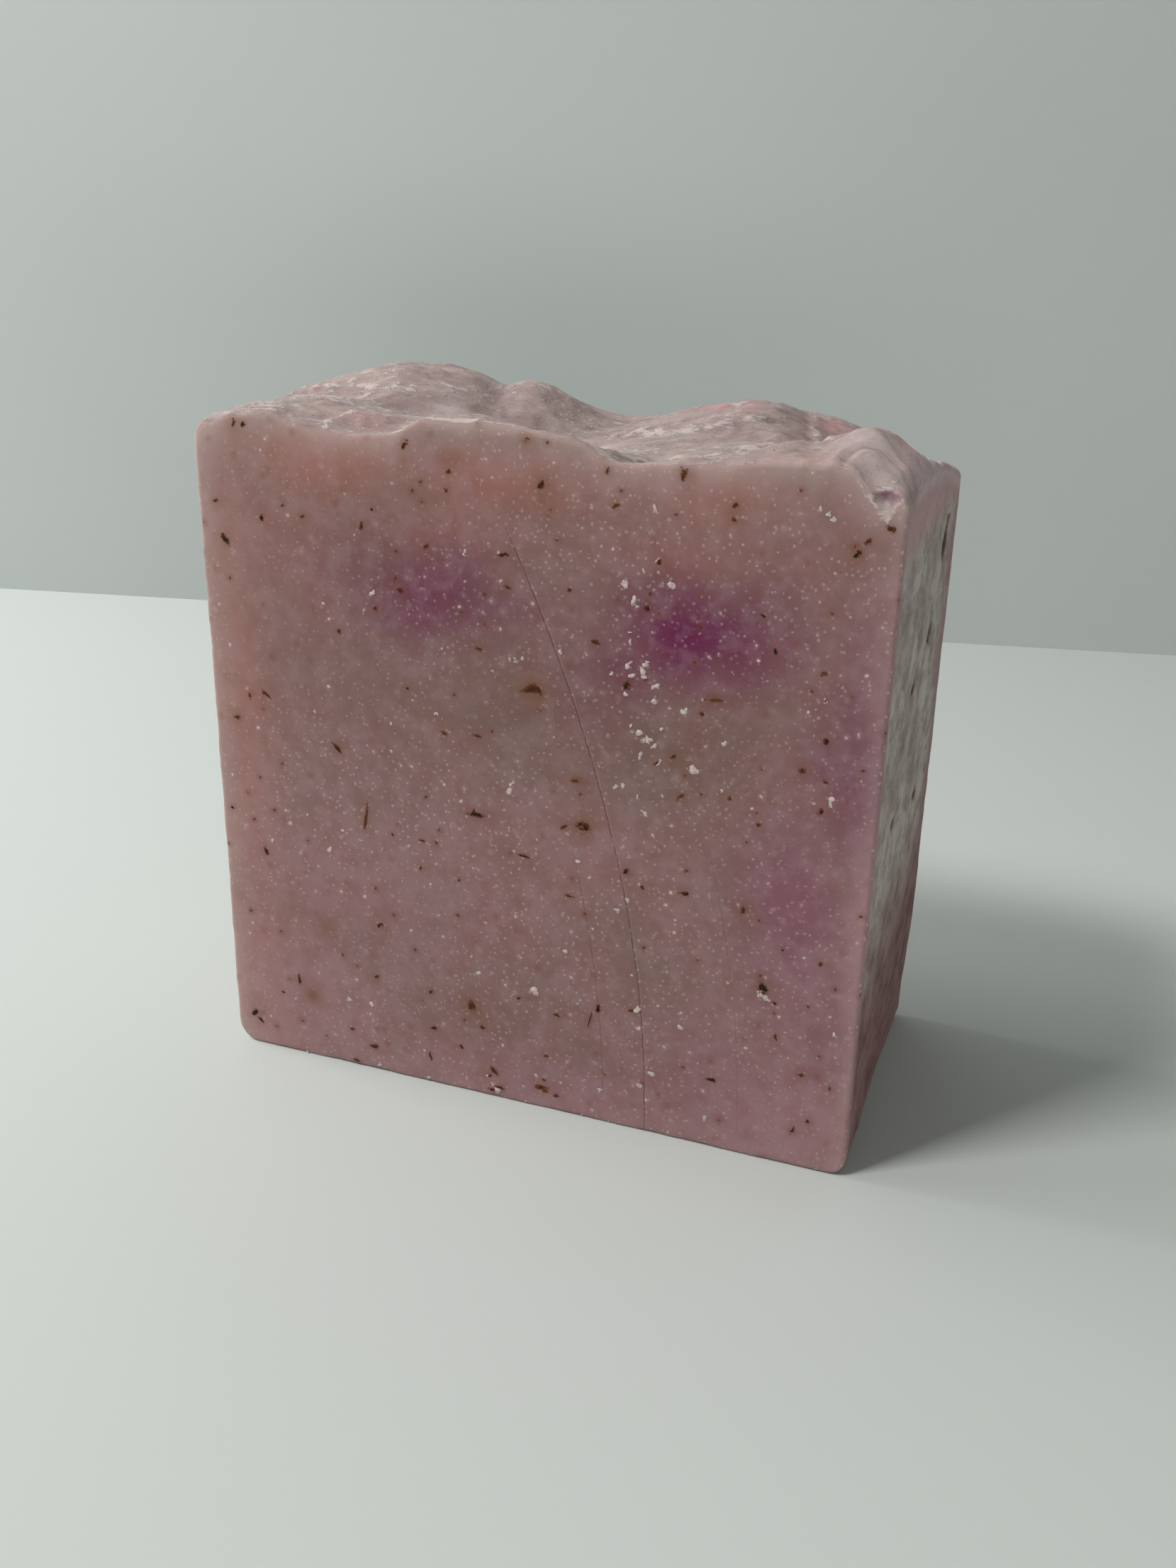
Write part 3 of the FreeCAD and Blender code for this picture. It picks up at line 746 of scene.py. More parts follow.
def top_layers(piece, below, x, y):
    """The top's skin: where it shows, its ash, granules and blushes, some of them painted
    light, and how calm it is in the trough and on the polished lobe."""
    up = smooth(2.0, 0.2, below)
    off_cuts = smooth(0.0, 0.2, y) * smooth(0.0, 0.2, THICKNESS - y)
    soft_front = 1 - 0.8 * bell(x - 60.0, 3.8) * smooth(3.0, 0.5, y)
    polish = bell(x - 66.4, 3.2) * bell(y - 3.6, 3.6)
    calm = np.maximum(polish, 0.8 * bell(line_distance(x, y, PLAIN_LINE), PLAIN_REACH))
    ash = np.clip(top_ash(x, y) * (1 - 0.8 * calm), 0, 1)
    write_layer(piece, "top", up * off_cuts * soft_front)
    write_layer(piece, "ash", ash * up * off_cuts * soft_front)
    write_layer(piece, "calm", calm)
    write_layer(piece, "granules", up * blooms(x, y, GRANULES))
    write_layer(piece, "blush_and_painted_light", up * blooms(x, y, BLUSHES_AND_PAINTED_LIGHT))


def soap_layers(piece, points, chipped, pits, plan):
    """The soap's marks, one layer each: dye and stains, the paler thin edges with a painted
    glow of light through them, the skin of the top and of the mould walls, pits, chalk,
    and the white of the chip."""
    x, y, z = points.T
    below = np.maximum(top_height(*plan) - z, 0)
    fade = np.exp(-np.minimum(y, THICKNESS - y) / DYE_DEPTH)
    dye_layers(piece, x, y, z, fade)
    # Paler edges, most at the left and under the top: partly soap dried paler there, partly a
    # painted glow of light through the thin soap.
    haze_and_glow = (0.5 * np.exp(-x / 1.8) + 0.15 * np.exp(-x / 7.0)
            + 0.3 * np.exp(-(WIDTH - x) / 1.5) + 0.68 * np.exp(-below / 1.7)
            + 0.12 * np.exp(-z / 2.2))
    write_layer(piece, "haze_and_glow", np.clip(haze_and_glow, 0, 1))
    top_layers(piece, below, *plan)

    off_cuts = smooth(0.2, 2.6, y) * smooth(0.4, 1.6, THICKNESS - y)
    wall = np.maximum(smooth(1.6, 0.2, WIDTH - x) * off_cuts, smooth(1.6, 0.2, x) * off_cuts)
    write_layer(piece, "wall", wall * smooth(0.0, 2.5, below))
    write_layer(piece, "pit", np.clip(pits / DARK_PIT_DEPTH, 0, 1))
    ring = 0.8 * bell(chip_radius(points) - 1.06, 0.14)
    ring = ring * smooth(2.0, 0.8, y) * smooth(70.0, 69.0, z)
    rim = 0.8 * bell(WIDTH - x - 0.2, 0.25) * bell(below - 0.2, 0.35)
    rim = rim * smooth(0.5, 1.5, y) * smooth(15, 9, y)
    torn = fade * spots(x, z, CHALK) * smooth(1.5, 0.5, y)
    write_layer(piece, "chalk", np.maximum(np.maximum(ring, rim), torn))
    write_layer(piece, "break", chipped.astype(float))


class Value:
    """A shader socket that can be used in Python sums: each operator adds one Math
    node, and numbers may stand on either side."""

    def __init__(self, shade, socket):
        self.shade = shade
        self.socket = socket

    def _math(self, operation, *values):
        return self.shade.node("ShaderNodeMath", {"operation": operation}, *values)

    def __add__(self, other):
        return self._math("ADD", self, other)

    def __radd__(self, other):
        return self._math("ADD", other, self)

    def __sub__(self, other):
        return self._math("SUBTRACT", self, other)

    def __rsub__(self, other):
        return self._math("SUBTRACT", other, self)

    def __mul__(self, other):
        return self._math("MULTIPLY", self, other)

    def __rmul__(self, other):
        return self._math("MULTIPLY", other, self)

    def __truediv__(self, other):
        return self._math("DIVIDE", self, other)

    def __pow__(self, other):
        return self._math("POWER", self, other)

    def __abs__(self):
        return self._math("ABSOLUTE", self)

    def at_most(self, other):
        return self._math("MINIMUM", self, other)

    def at_least(self, other):
        return self._math("MAXIMUM", self, other)


class Shade:
    """One material's node tree, with a short way to add each kind of node."""

    def __init__(self, name):
        self.material = bpy.data.materials.new(name)
        self.material.use_nodes = True
        self.tree = self.material.node_tree
        self.shader = self.tree.nodes["Principled BSDF"]

    def node(self, kind, settings, *values, output=0, **named):
        """Add a node: its settings first, then its sockets' values or links, by order or
        by name. Returns one of its outputs."""
        node = self.tree.nodes.new(kind)
        for setting, value in settings.items():
            setattr(node, setting, value)
        for key, value in list(enumerate(values)) + list(named.items()):
            key = key if isinstance(key, int) else key.replace("_", " ")
            self.feed(node.inputs[key], value)
        return Value(self, node.outputs[output])

    def feed(self, socket, value):
        if isinstance(value, Value):
            self.tree.links.new(value.socket, socket)
        else:
            socket.default_value = value

    def step(self, low, high, value):
        """Smoothstep of a value from 0 at low to 1 at high."""
        settings = {"interpolation_type": "SMOOTHSTEP"}
        if low < high:
            return self.node("ShaderNodeMapRange", settings, value, low, high, 0.0, 1.0)
        return self.node("ShaderNodeMapRange", settings, value, high, low, 1.0, 0.0)

    def layer(self, name):
        return self.node("ShaderNodeAttribute", {"attribute_name": name}, output="Fac")

    def places(self):
        """Object coordinates in millimetres."""
        coordinates = self.node("ShaderNodeTexCoord", {}, output="Object")
        return self.vector("MULTIPLY", coordinates, (1 / MM,) * 3)

    def vector(self, operation, first, second):
        return self.node("ShaderNodeVectorMath", {"operation": operation}, first, second)

    def stretch(self, places, scale):
        return self.vector("MULTIPLY", places, scale)

    def noise(self, places, spacing, detail=2.0, roughness=0.5, output=0):
        return self.node("ShaderNodeTexNoise", {}, output=output, Vector=places,
                         Scale=1 / spacing, Detail=detail, Roughness=roughness)

    def cells(self, places, spacing):
        """The distance to the middle of the nearest of many scattered cells, in cell
        widths, and a random colour that each cell keeps."""
        settings = {"feature": "F1", "voronoi_dimensions": "3D"}
        distance = self.node("ShaderNodeTexVoronoi", settings, Vector=places, Scale=1 / spacing)
        node = distance.socket.node
        split = self.node("ShaderNodeSeparateColor", {}, Value(self, node.outputs["Color"]))
        chances = [Value(self, output) for output in split.socket.node.outputs]
        return distance, chances

    def mix(self, share, below, above):
        """Colour mix: below where share is 0, above where it is 1. The node has its
        sockets for colours after those for numbers and vectors."""
        mixed = self.node("ShaderNodeMix", {"data_type": "RGBA"}, share, output=2)
        self.feed(mixed.socket.node.inputs[6], below)
        self.feed(mixed.socket.node.inputs[7], above)
        return mixed

    def bump(self, height, strength, distance):
        return self.node("ShaderNodeBump", {}, Height=height, Strength=strength,
                         Distance=distance)

    def finish(self, **sockets):
        for name, value in sockets.items():
            self.feed(self.shader.inputs[name.replace("_", " ")], value)
        return self.material


def tone(red, green, blue):
    """Linear colour from the 0 to 255 numbers that a colour chart gives."""
    def linear(part):
        part /= 255
        return part / 12.92 if part <= 0.04045 else ((part + 0.055) / 1.055) ** 2.4
    return (linear(red), linear(green), linear(blue), 1.0)


# Wire marks on the front cut: each follows the same bow, and is named by where it
# meets the base, the heights that it runs between, and its strength
# The marks waver by a little less than half a millimetre
WIRE_BOW, WIRE_WAVER = 19.3, 0.4
WIRE_MARKS = ((48.8, 0.0, 63.0, 1.0), (44.2, 3.0, 33.5, 0.4), (30.7, 8.0, 36.0, 0.22),
              (58.8, 2.0, 36.0, 0.3), (62.4, 4.0, 24.0, 0.15), (37.4, 40.0, 66.0, 0.1))

# Half widths of a mark and of its lip, how far the lip lies to its right, and how wide
# the middle of both is
MARK_HALF, LIP_HALF, LIP_OFFSET, MARK_MIDDLE = 0.09, 0.12, 0.12, 0.02


def wire_marks(shade, x, z):
    """How deep each point lies in a wire mark, and how near to the pale lip on its
    right. All marks are lines of equal x + bow * (z / height)^2, with a slight waver."""
    height = z * (1 / WALL_HEIGHT)
    waver = shade.noise(shade.places(), 1.1, 3.0)
    across = x + height * height * WIRE_BOW + waver * WIRE_WAVER
    total, lips = None, None
    for foot, low, high, strength in WIRE_MARKS:
        off = across - (foot + WIRE_WAVER / 2)
        run = shade.step(low - 1, low + 2, z) * shade.step(high + 2, high - 4, z) * strength
        mark = shade.step(MARK_HALF, MARK_MIDDLE, abs(off)) * run * shade.step(0.34, 0.5, waver)
        lip = shade.step(LIP_HALF, MARK_MIDDLE, abs(off - LIP_OFFSET)) * run
        total = mark if total is None else total.at_least(mark)
        lips = lip if lips is None else lips.at_least(lip)
    return total, lips


# The dyes that the body takes one after another: layer, strength and colour
DYES = (
    ("olive", 0.7, (110, 88, 77)), ("salmon", 0.78, (156, 99, 88)),
    ("rose", 0.75, (162, 120, 130)), ("magenta", 0.98, (98, 4, 68)),
)


def dyed_body(shade, clouds, mottle):
    """The cut soap's colour: mauve, then the dyes, a soft mottle, and the paler thin
    edges with their painted glow.
    """
    body = shade.mix(shade.step(0.35, 0.65, clouds), tone(133, 101, 99), tone(128, 102, 98))
    for dye, strength, colour in DYES:
        body = shade.mix(shade.layer(dye) * strength, body, tone(*colour))
    body = shade.mix(shade.step(0.42, 0.66, mottle) * 0.22, body, tone(160, 136, 140))
    body = shade.mix(shade.step(0.5, 0.3, mottle) * 0.25, body, tone(116, 84, 76))
    # Paler edges: partly dried soap, partly a painted glow of light through thin soap.
    return shade.mix(shade.layer("haze_and_glow") * 0.85, body, tone(190, 170, 164))


def grained_body(shade, body, places):
    """Pale grains with their halos, flour, brown stains and dark specks in the soap, all
    in cells bent by a noise. Also gives the distance to the flour's grains."""
    warp = shade.noise(places, 0.36, 4.0, 0.75, output="Color")
    bent = shade.vector("ADD", places, shade.stretch(warp, (0.55, 0.55, 0.55)))
    near, chances = shade.cells(bent, 1.45)
    halo = shade.step(0.4, 0.02, near) * shade.step(0.35, 0.75, chances[0])
    core = shade.step(0.0, -0.09, near - 0.07 - chances[1] * 0.13)
    core = core * shade.step(0.28, 0.95, chances[2])
    body = shade.mix(halo * 0.15, body, tone(196, 172, 170))
    body = shade.mix(core * 0.85, body, tone(208, 192, 186))
    tiny, chances = shade.cells(bent, 0.6)
    flour = shade.step(0.36, 0.1, tiny) * shade.step(0.22, 0.95, chances[1])
    body = shade.mix(flour * 0.78, body, tone(214, 198, 194))
    speck, chances = shade.cells(bent, 2.7)
    chosen = shade.step(0.5, 0.52, chances[1])
    body = shade.mix(shade.layer("stain").at_most(0.95) * 0.85, body, tone(116, 74, 38))
    body = shade.mix(shade.step(0.3, 0.0, speck) * chosen * 0.4, body, tone(116, 66, 38))
    body = shade.mix(shade.step(0.075, 0.045, speck) * chosen * 0.8, body, tone(74, 40, 22))
    return body, tiny


def top_skin(shade, places, frost, calm, x, y):
    """The loaf top's own skin: mauve and pale in drawn patches, dull and cracked where
    it isn't calm, blushing here and there, paler where it is calm, and with painted
    light along the right wall. Some blushes and the calm lobe's paleness are partly
    painted light too."""
    drawn = shade.noise(shade.stretch(places, (0.4, 1.1, 1.1)), 2.6, 5.0, 0.65)
    skin = shade.mix(shade.step(0.38, 0.62, drawn), tone(160, 138, 139), tone(176, 160, 154))
    dull = shade.step(0.48, 0.36, frost) * (1 - calm)
    skin = shade.mix(dull * 0.5, skin, tone(146, 118, 114))
    cracks = shade.step(0.018, 0.004, abs(drawn - 0.5)) * shade.step(0.47, 0.56, frost)
    skin = shade.mix(cracks * (1 - calm) * 0.7, skin, tone(122, 92, 86))
    # Blushes: pink skin, lightened in places as painted light on slopes facing away from the
    # lamps.
    skin = shade.mix(shade.layer("blush_and_painted_light") * 0.85, skin, tone(204, 148, 148))
    # The calm places are paler, partly as smoother skin and partly as painted light on the lobe's
    # shaded far side.
    skin = shade.mix(calm * 0.8, skin, tone(194, 180, 179))
    # Painted light: the top's rim above the right wall is lightened where its slopes face away
    # from the lamps.
    painted_light_right_rim = shade.step(66.6, 69.4, x) * shade.step(-14.0, -9.0, y)
    return shade.mix(painted_light_right_rim * 0.7, skin, tone(226, 202, 208))


def lobe_creases(shade, clouds, mottle, lobe, x, y):
    """Two dark rings round the middle of the right lobe's arcs, wandering with the
    clouds, where the two layers named as the lobe are strong."""
    from_arcs = ((x - ARC_MIDDLE[0]) ** 2 + (y + THICKNESS / 2 - ARC_MIDDLE[1]) ** 2) ** 0.5
    wander = from_arcs + clouds * 1.2 - 0.6 - ARC_RADIUS
    inner = shade.step(0.34, 0.02, abs(wander))
    outer = shade.step(0.3, 0.02, abs(wander + 0.85)) * 0.6
    return (inner + outer) * lobe[0] * lobe[1] * shade.step(68.6, 67.0, x + mottle)


def wall_skin(shade, places, clouds, drawn, grain, y, z):
    """A mould wall's skin: grey ash over its middle, bare towards the foot and darker
    there, partly as bare soap and partly as painted shade near the floor, and rosy near the top."""
    powder = shade.noise(places, 5.5, 4.0, 0.6)
    reach = shade.step(16.0, 33.0, z + (powder - 0.5) * 16 - y * 0.15)
    reach = reach * shade.step(16.5, 10.0, y + (powder - 0.5) * 14)
    patches = shade.step(0.36, 0.62, drawn)
    grey = shade.mix(patches, tone(144, 132, 126), tone(196, 192, 184))
    grey = shade.mix(shade.step(0.45, 0.6, grain) * 0.3, grey, tone(200, 196, 189))
    grey = shade.mix(shade.step(0.56, 0.42, clouds) * 0.35, grey, tone(140, 126, 120))
    bare = shade.mix(patches, tone(108, 76, 76), tone(140, 110, 108))
    # Bare skin lightens upwards: its darker foot is partly painted shade near the floor.
    bare = shade.mix(shade.step(16.0, 40.0, z) * 0.6, bare, tone(176, 146, 144))
    upper = shade.step(60.0, 66.0, z) * 0.85
    ashy = reach * shade.step(0.15, 0.45, powder) * (1 - upper)
    return shade.mix(ashy * 0.95, shade.mix(upper, bare, tone(198, 156, 162)), grey)


def soap_material():
    """Waxy mauve soap: the cut body with its dyes, grains and wire marks, under the skin
    of the top and of the mould walls, with pits, the fresh chip and chalk over them."""
    shade = Shade("cured_soap")
    places = shade.places()
    split = shade.node("ShaderNodeSeparateXYZ", {}, places).socket.node
    x = Value(shade, split.outputs[0]) + WIDTH / 2
    y = Value(shade, split.outputs[1])
    z = Value(shade, split.outputs[2])
    clouds = shade.noise(places, 9.0, 3.0)
    mottle = shade.noise(places, 2.2, 5.0, 0.65)
    frost = shade.noise(shade.stretch(places, (0.5, 1.6, 1.6)), 0.75, 5.0, 0.8)
    top, wall, calm = shade.layer("top"), shade.layer("wall"), shade.layer("calm")

    body, tiny = grained_body(shade, dyed_body(shade, clouds, mottle), places)
    on_cut = 1 - wall.at_least(top)
    front = shade.step(-THICKNESS / 2 + 2.5, -THICKNESS / 2 + 1.2, y)
    marks, lips = wire_marks(shade, x, z)
    marks = marks * front * on_cut
    body = shade.mix(marks * 0.55, body, tone(84, 54, 50))
    body = shade.mix(lips * front * on_cut * 0.22, body, tone(170, 140, 136))

    body = shade.mix(top * 0.92, body, top_skin(shade, places, frost, calm, x, y))
    ash = shade.layer("ash")
    frosted = shade.step(0.02, 0.12, (frost - 0.5) * 2.6 + (ash - 0.5) * 0.6)
    grains = shade.step(0.42, 0.22, tiny) * shade.step(0.15, 0.6, shade.layer("granules"))
    white = top * frosted.at_least(grains)
    body = shade.mix(top * ash * 0.2, body, tone(198, 184, 181))
    body = shade.mix(white * 0.7, body, tone(204, 193, 189))
    creases = lobe_creases(shade, clouds, mottle, (top, calm), x, y)
    body = shade.mix(creases * 0.4, body, tone(118, 96, 100))

    grain = shade.noise(places, 0.7, 4.0, 0.72)
    drawn = shade.noise(shade.stretch(places, (1.0, 0.55, 0.75)), 2.3, 5.0, 0.7)
    body = shade.mix(wall * 0.95, body, wall_skin(shade, places, clouds, drawn, grain, y, z))
    body = shade.mix(shade.step(0.2, 0.8, shade.layer("pit")) * 0.9, body, tone(78, 42, 38))
    # The chip's broken face is white low in the notch; higher up it turns darker pink, which is
    # painted shadow inside the notch.
    upper = shade.step(68.2, 68.9, z + (mottle - 0.5) * 3)
    fresh = shade.mix(upper, tone(188, 172, 168), tone(150, 118, 126))
    body = shade.mix(shade.layer("break") * 0.9, body, fresh)
    chalk = shade.step(0.56, 0.72, shade.layer("chalk") * 0.62 + frost * 0.6 - 0.1)
    body = shade.mix(chalk * 0.85, body, tone(200, 186, 180))

    fine = shade.noise(places, 0.32, 2.0, 0.6)
    relief = (fine * 0.3 - marks * 1.2 + top * (1 - calm) * frost * 2.6
              + wall * (grain + drawn) * 2.0 + chalk - creases * 0.6 + white * 1.2)
    return shade.finish(
        Base_Color=body, Roughness=0.5 + fine * 0.16 + top * 0.2 + wall * 0.2,
        Normal=shade.bump(relief, 0.8, 0.1 * MM), IOR=1.4, Specular_IOR_Level=0.3,
        Subsurface_Weight=0.3, Subsurface_Radius=(1.0, 0.55, 0.45), Subsurface_Scale=1.4 * MM)


def soap_bar_piece():
    points, quads, chipped, pits, plan = shape_bar()
    piece = mesh_object("swirled_soap", points, quads)
    soap_layers(piece, points, chipped, pits, plan)
    piece.data.materials.append(soap_material())
    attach(piece, "root")
    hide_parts("soap_bar")


# Each lump is a small globe: its rows of points between the poles, the points of each
# row, and how rough its waves make it
LUMP_ROWS, LUMP_RING, LUMP_ROUGHNESS = 5, 10, 0.6


def globe():
    """Points of a unit globe, row by row with the two poles last, and its outward quads.
    At the poles, each quad spans two steps of the ring."""
    latitude = np.linspace(-math.pi / 2, math.pi / 2, LUMP_ROWS + 2)[1:-1]
    longitude = np.arange(LUMP_RING) * 2 * math.pi / LUMP_RING
    lat, lon = np.meshgrid(latitude, longitude, indexing="ij")
    unit = np.stack([np.cos(lat) * np.cos(lon), np.cos(lat) * np.sin(lon), np.sin(lat)], -1)
    unit = np.concatenate([unit.reshape(-1, 3), [[0, 0, -1], [0, 0, 1]]])

    def at(row, place):
        return row * LUMP_RING + place % LUMP_RING

    row, place = np.meshgrid(np.arange(LUMP_ROWS - 1), np.arange(LUMP_RING), indexing="ij")
    body = np.stack([at(row, place), at(row, place + 1),
                     at(row + 1, place + 1), at(row + 1, place)], -1)
    step = np.arange(0, LUMP_RING, 2)
    south, last = LUMP_ROWS * LUMP_RING, LUMP_ROWS - 1
    foot = np.stack([0 * step + south, at(0, step + 2), at(0, step + 1), at(0, step)], -1)
    head = np.stack([0 * step + south + 1, at(last, step), at(last, step + 1),
                     at(last, step + 2)], -1)
    return unit, np.concatenate([body.reshape(-1, 4), foot, head])


def lumps(centres, halves, turns, seed):
    """Many small closed lumps: globes squeezed to their three half sizes, roughened by a
    few random waves, turned about the way they face, and kept inside the bar's box.
    Gives all points, all quads and the points of the plain globe."""
    random = np.random.default_rng(seed)
    count = len(centres)
    unit, one = globe()
    waves = random.uniform(-1, 1, (count, 3, 3)) * 4.2
    phase = random.uniform(0, 6.28, (count, 3, 1))
    swell = 1 + LUMP_ROUGHNESS * np.sin(waves @ unit.T + phase).sum(axis=1) / 1.7
    local = unit[None] * swell[..., None] * np.asarray(halves)[:, None, :]
    points = np.einsum("nij,nkj->nki", turns, local) + np.asarray(centres)[:, None, :]
    points = np.clip(points, 0.01, [WIDTH - 0.01, THICKNESS - 0.01, TOP_LIMIT])
    quads = (one[None] + len(unit) * np.arange(count)[:, None, None]).reshape(-1, 4)
    return points.reshape(-1, 3), quads, unit


def facing_turns(way, spin):
    """Turn matrices that lay a lump's thin side along the way that the surface faces,
    then spin it in the surface."""
    way = way / np.linalg.norm(way, axis=-1, keepdims=True)
    up = np.where(np.abs(way[:, 2:3]) > 0.8, [[0, 1, 0]], [[0, 0, 1]])
    across = np.cross(up, way)
    across /= np.linalg.norm(across, axis=-1, keepdims=True)
    rise = np.cross(way, across)
    cos, sin = np.cos(spin)[:, None], np.sin(spin)[:, None]
    first = across * cos + rise * sin
    second = rise * cos - across * sin
    return np.stack([first, second, way], axis=-1)


def front_depth(x, z):
    """How far the front cut lies behind the bar's flat box at a place, near enough."""
    place = np.stack([x, 0 * x, z], -1)
    waves = from_nought(folds.layers(place, CUT_WAVE, 3))
    edge = np.minimum(np.minimum(x, WIDTH - x), np.minimum(z, top_height(x, 0 * x + 0.5) - z))
    return (0.1 + 0.1 * waves) * smooth(0, 1.5, FILL + 2 - z) + rim_drop(edge, FRONT_EDGE_ROUND)


# Half thickness of a fleck, and how many are strewn over the back cut and the top
FLECK_THICKNESS = 0.07
BACK_FLECKS, TOP_FLECKS = 120, 4


def strewn_flecks(random, back_count, top_count):
    """Centres, facing ways and half sizes of flecks strewn over the back cut and the
    top."""
    x, z = random.uniform(2, 68, back_count), random.uniform(1.5, 68, back_count)
    z = np.minimum(z, top_height(x, 0 * x + THICKNESS - 0.6) - 1.5)
    back = np.stack([x, THICKNESS - front_depth(x, z) - 0.12, z], -1)
    x, y = random.uniform(4, 60, top_count), random.uniform(3, 30, top_count)
    top = np.stack([x, y, top_height(x, y) - 0.05], -1)
    centres = np.concatenate([back, top])
    way = np.concatenate([np.tile([[0, 1.0, 0]], (back_count, 1)),
                          np.tile([[0, 0, 1.0]], (top_count, 1))])
    size = np.exp(random.normal(-0.75, 0.42, len(centres)))
    breadth = size * random.uniform(0.2, 0.45, len(centres))
    return centres, way, np.stack([size * 0.6, breadth, np.full(len(centres), 0.08)], -1)


def herb_material():
    """Brown leaf, paler at its ragged edge, where it ends in clear scraps."""
    shade = Shade("dried_herb")
    fibre = shade.noise(shade.places(), 0.16, 4.0, 0.7)
    heart = shade.layer("heart") + (fibre - 0.5) * 2.2
    leaf = shade.mix(shade.layer("dark"), tone(108, 54, 22), tone(36, 24, 18))
    leaf = shade.mix(shade.step(0.42, 0.16, heart), leaf, tone(122, 74, 42))
    return shade.finish(
        Base_Color=leaf, Roughness=0.7 + fibre * 0.2, Specular_IOR_Level=0.1,
        Normal=shade.bump(fibre, 0.6, 0.05 * MM), Alpha=shade.step(0.06, 0.34, heart))


def herb_flecks():
    """Dried herb: flat scraps let into the front cut where they show, and more of them
    strewn over the back cut and the top."""
    x, z, length, breadth, turn, dark = np.array(FLECKS).T
    z = np.minimum(z, top_height(x, 0 * x + 0.6) - 0.3 - breadth / 2)
    centres = np.stack([x, front_depth(x, z) - 0.01, z], -1)
    way = np.tile([[0.0, -1.0, 0.0]], (len(x), 1))
    halves = np.stack([length * 0.6, breadth * 0.58, np.full(len(x), FLECK_THICKNESS)], -1)

    random = np.random.default_rng(5)
    strewn, strewn_way, strewn_halves = strewn_flecks(random, BACK_FLECKS, TOP_FLECKS)
    centres = np.concatenate([centres, strewn])
    way = np.concatenate([way, strewn_way])
    halves = np.concatenate([halves, strewn_halves])
    spins = np.concatenate([np.radians(turn), random.uniform(0, math.pi, len(strewn))])
    dark = np.concatenate([dark, random.uniform(0.2, 1, len(strewn))])
    points, quads, unit = lumps(centres, halves, facing_turns(way, spins), 21)
    piece = mesh_object("herb_flecks", points, quads)
    write_layer(piece, "dark", np.repeat(dark, len(unit)))
    write_layer(piece, "heart", np.tile(1 - np.hypot(unit[:, 0], unit[:, 1]), len(centres)))
    piece.data.materials.append(herb_material())
    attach(piece, "root")


# Pale crumbs on the front cut: place across and up, and half size
CRUMBS = (
    (45.1, 58.9, 0.4), (45.9, 57.4, 0.35), (46.2, 56.9, 0.3), (45.6, 54.3, 0.2),
    (45.7, 53.4, 0.25), (45.6, 51.2, 0.35), (47.4, 51.6, 0.5), (47, 50.7, 0.4), (47.2, 50.2, 0.25),
    (46, 50.2, 0.35), (45.4, 48.3, 0.25), (48.3, 49.4, 0.45), (49.6, 59.2, 0.45),
    (51.2, 47.5, 0.4), (46, 45.2, 0.3), (46.9, 44.5, 0.35), (47.8, 44, 0.55), (48.4, 43.5, 0.35),
    (47.1, 42.2, 0.45), (48.9, 41.9, 0.35), (52.5, 41.6, 0.45), (49.2, 45.3, 0.25),
    (60.2, 19.2, 0.4), (60.8, 18.9, 0.35), (61.1, 18.6, 0.25), (60, 18.9, 0.2), (47.6, 14.4, 0.5),
    (47.9, 12.3, 0.25), (48.1, 5.5, 0.45), (49.3, 7.3, 0.35), (65.6, 40.6, 0.55),
    (33.8, 37.2, 0.35), (33.5, 36.4, 0.4), (46.9, 38, 0.2), (47.6, 36.5, 0.4), (44.7, 38.7, 0.35),
    (45.4, 38.9, 0.3), (25.8, 43.4, 0.25), (36.4, 14.2, 0.4), (43.8, 3.9, 0.3), (36.6, 4, 0.3),
    (67.9, 16.2, 0.35), (45.2, 25.3, 0.35), (46.2, 26.7, 0.3), (39.7, 19.6, 0.35),
    (14.4, 8.3, 0.35), (17.2, 8.2, 0.3), (34.2, 50.2, 0.3), (33.6, 50.1, 0.25), (34.9, 50.4, 0.2),
    (38.8, 51.6, 0.25), (19.1, 54.9, 0.35), (64.3, 50.3, 0.3), (55.2, 44.9, 0.35),
    (48.1, 61.3, 0.35), (47.7, 65.9, 0.4), (63.8, 66.8, 0.35), (63.3, 67.2, 0.3),
    (62.6, 67.5, 0.25), (6.1, 26, 0.35), (12.9, 26, 0.35), (18.2, 53.1, 0.25), (29, 60, 0.35),
    (30, 15, 0.3), (40.9, 30, 0.25), (31.5, 1.6, 0.35), (32.1, 0.9, 0.4), (31, 2.4, 0.25),
    (17.9, 0.7, 0.3), (24, 0.6, 0.25), (55.3, 3.5, 0.35), (52.2, 13.5, 0.35), (48.2, 47.9, 0.3),
    (43.9, 50.1, 0.25), (46.8, 60.3, 0.2),
)

# How many crumbs are strewn along the foot, and the half thickness of the others
FOOT_CRUMBS, CRUMB_THICKNESS = 90, 0.08


def crumb_material():
    """Pale, slightly clear crumbs of soap and grain."""
    shade = Shade("soap_crumbs")
    mottle = shade.noise(shade.places(), 0.4, 3.0, 0.6)
    crumb = shade.mix(shade.step(0.35, 0.65, mottle), tone(172, 150, 144), tone(202, 186, 180))
    return shade.finish(
        Base_Color=crumb, Roughness=0.5 + mottle * 0.2, Normal=shade.bump(mottle, 0.5, 0.06 * MM),
        Subsurface_Weight=0.25, Subsurface_Radius=(1.0, 0.7, 0.6), Subsurface_Scale=0.6 * MM)


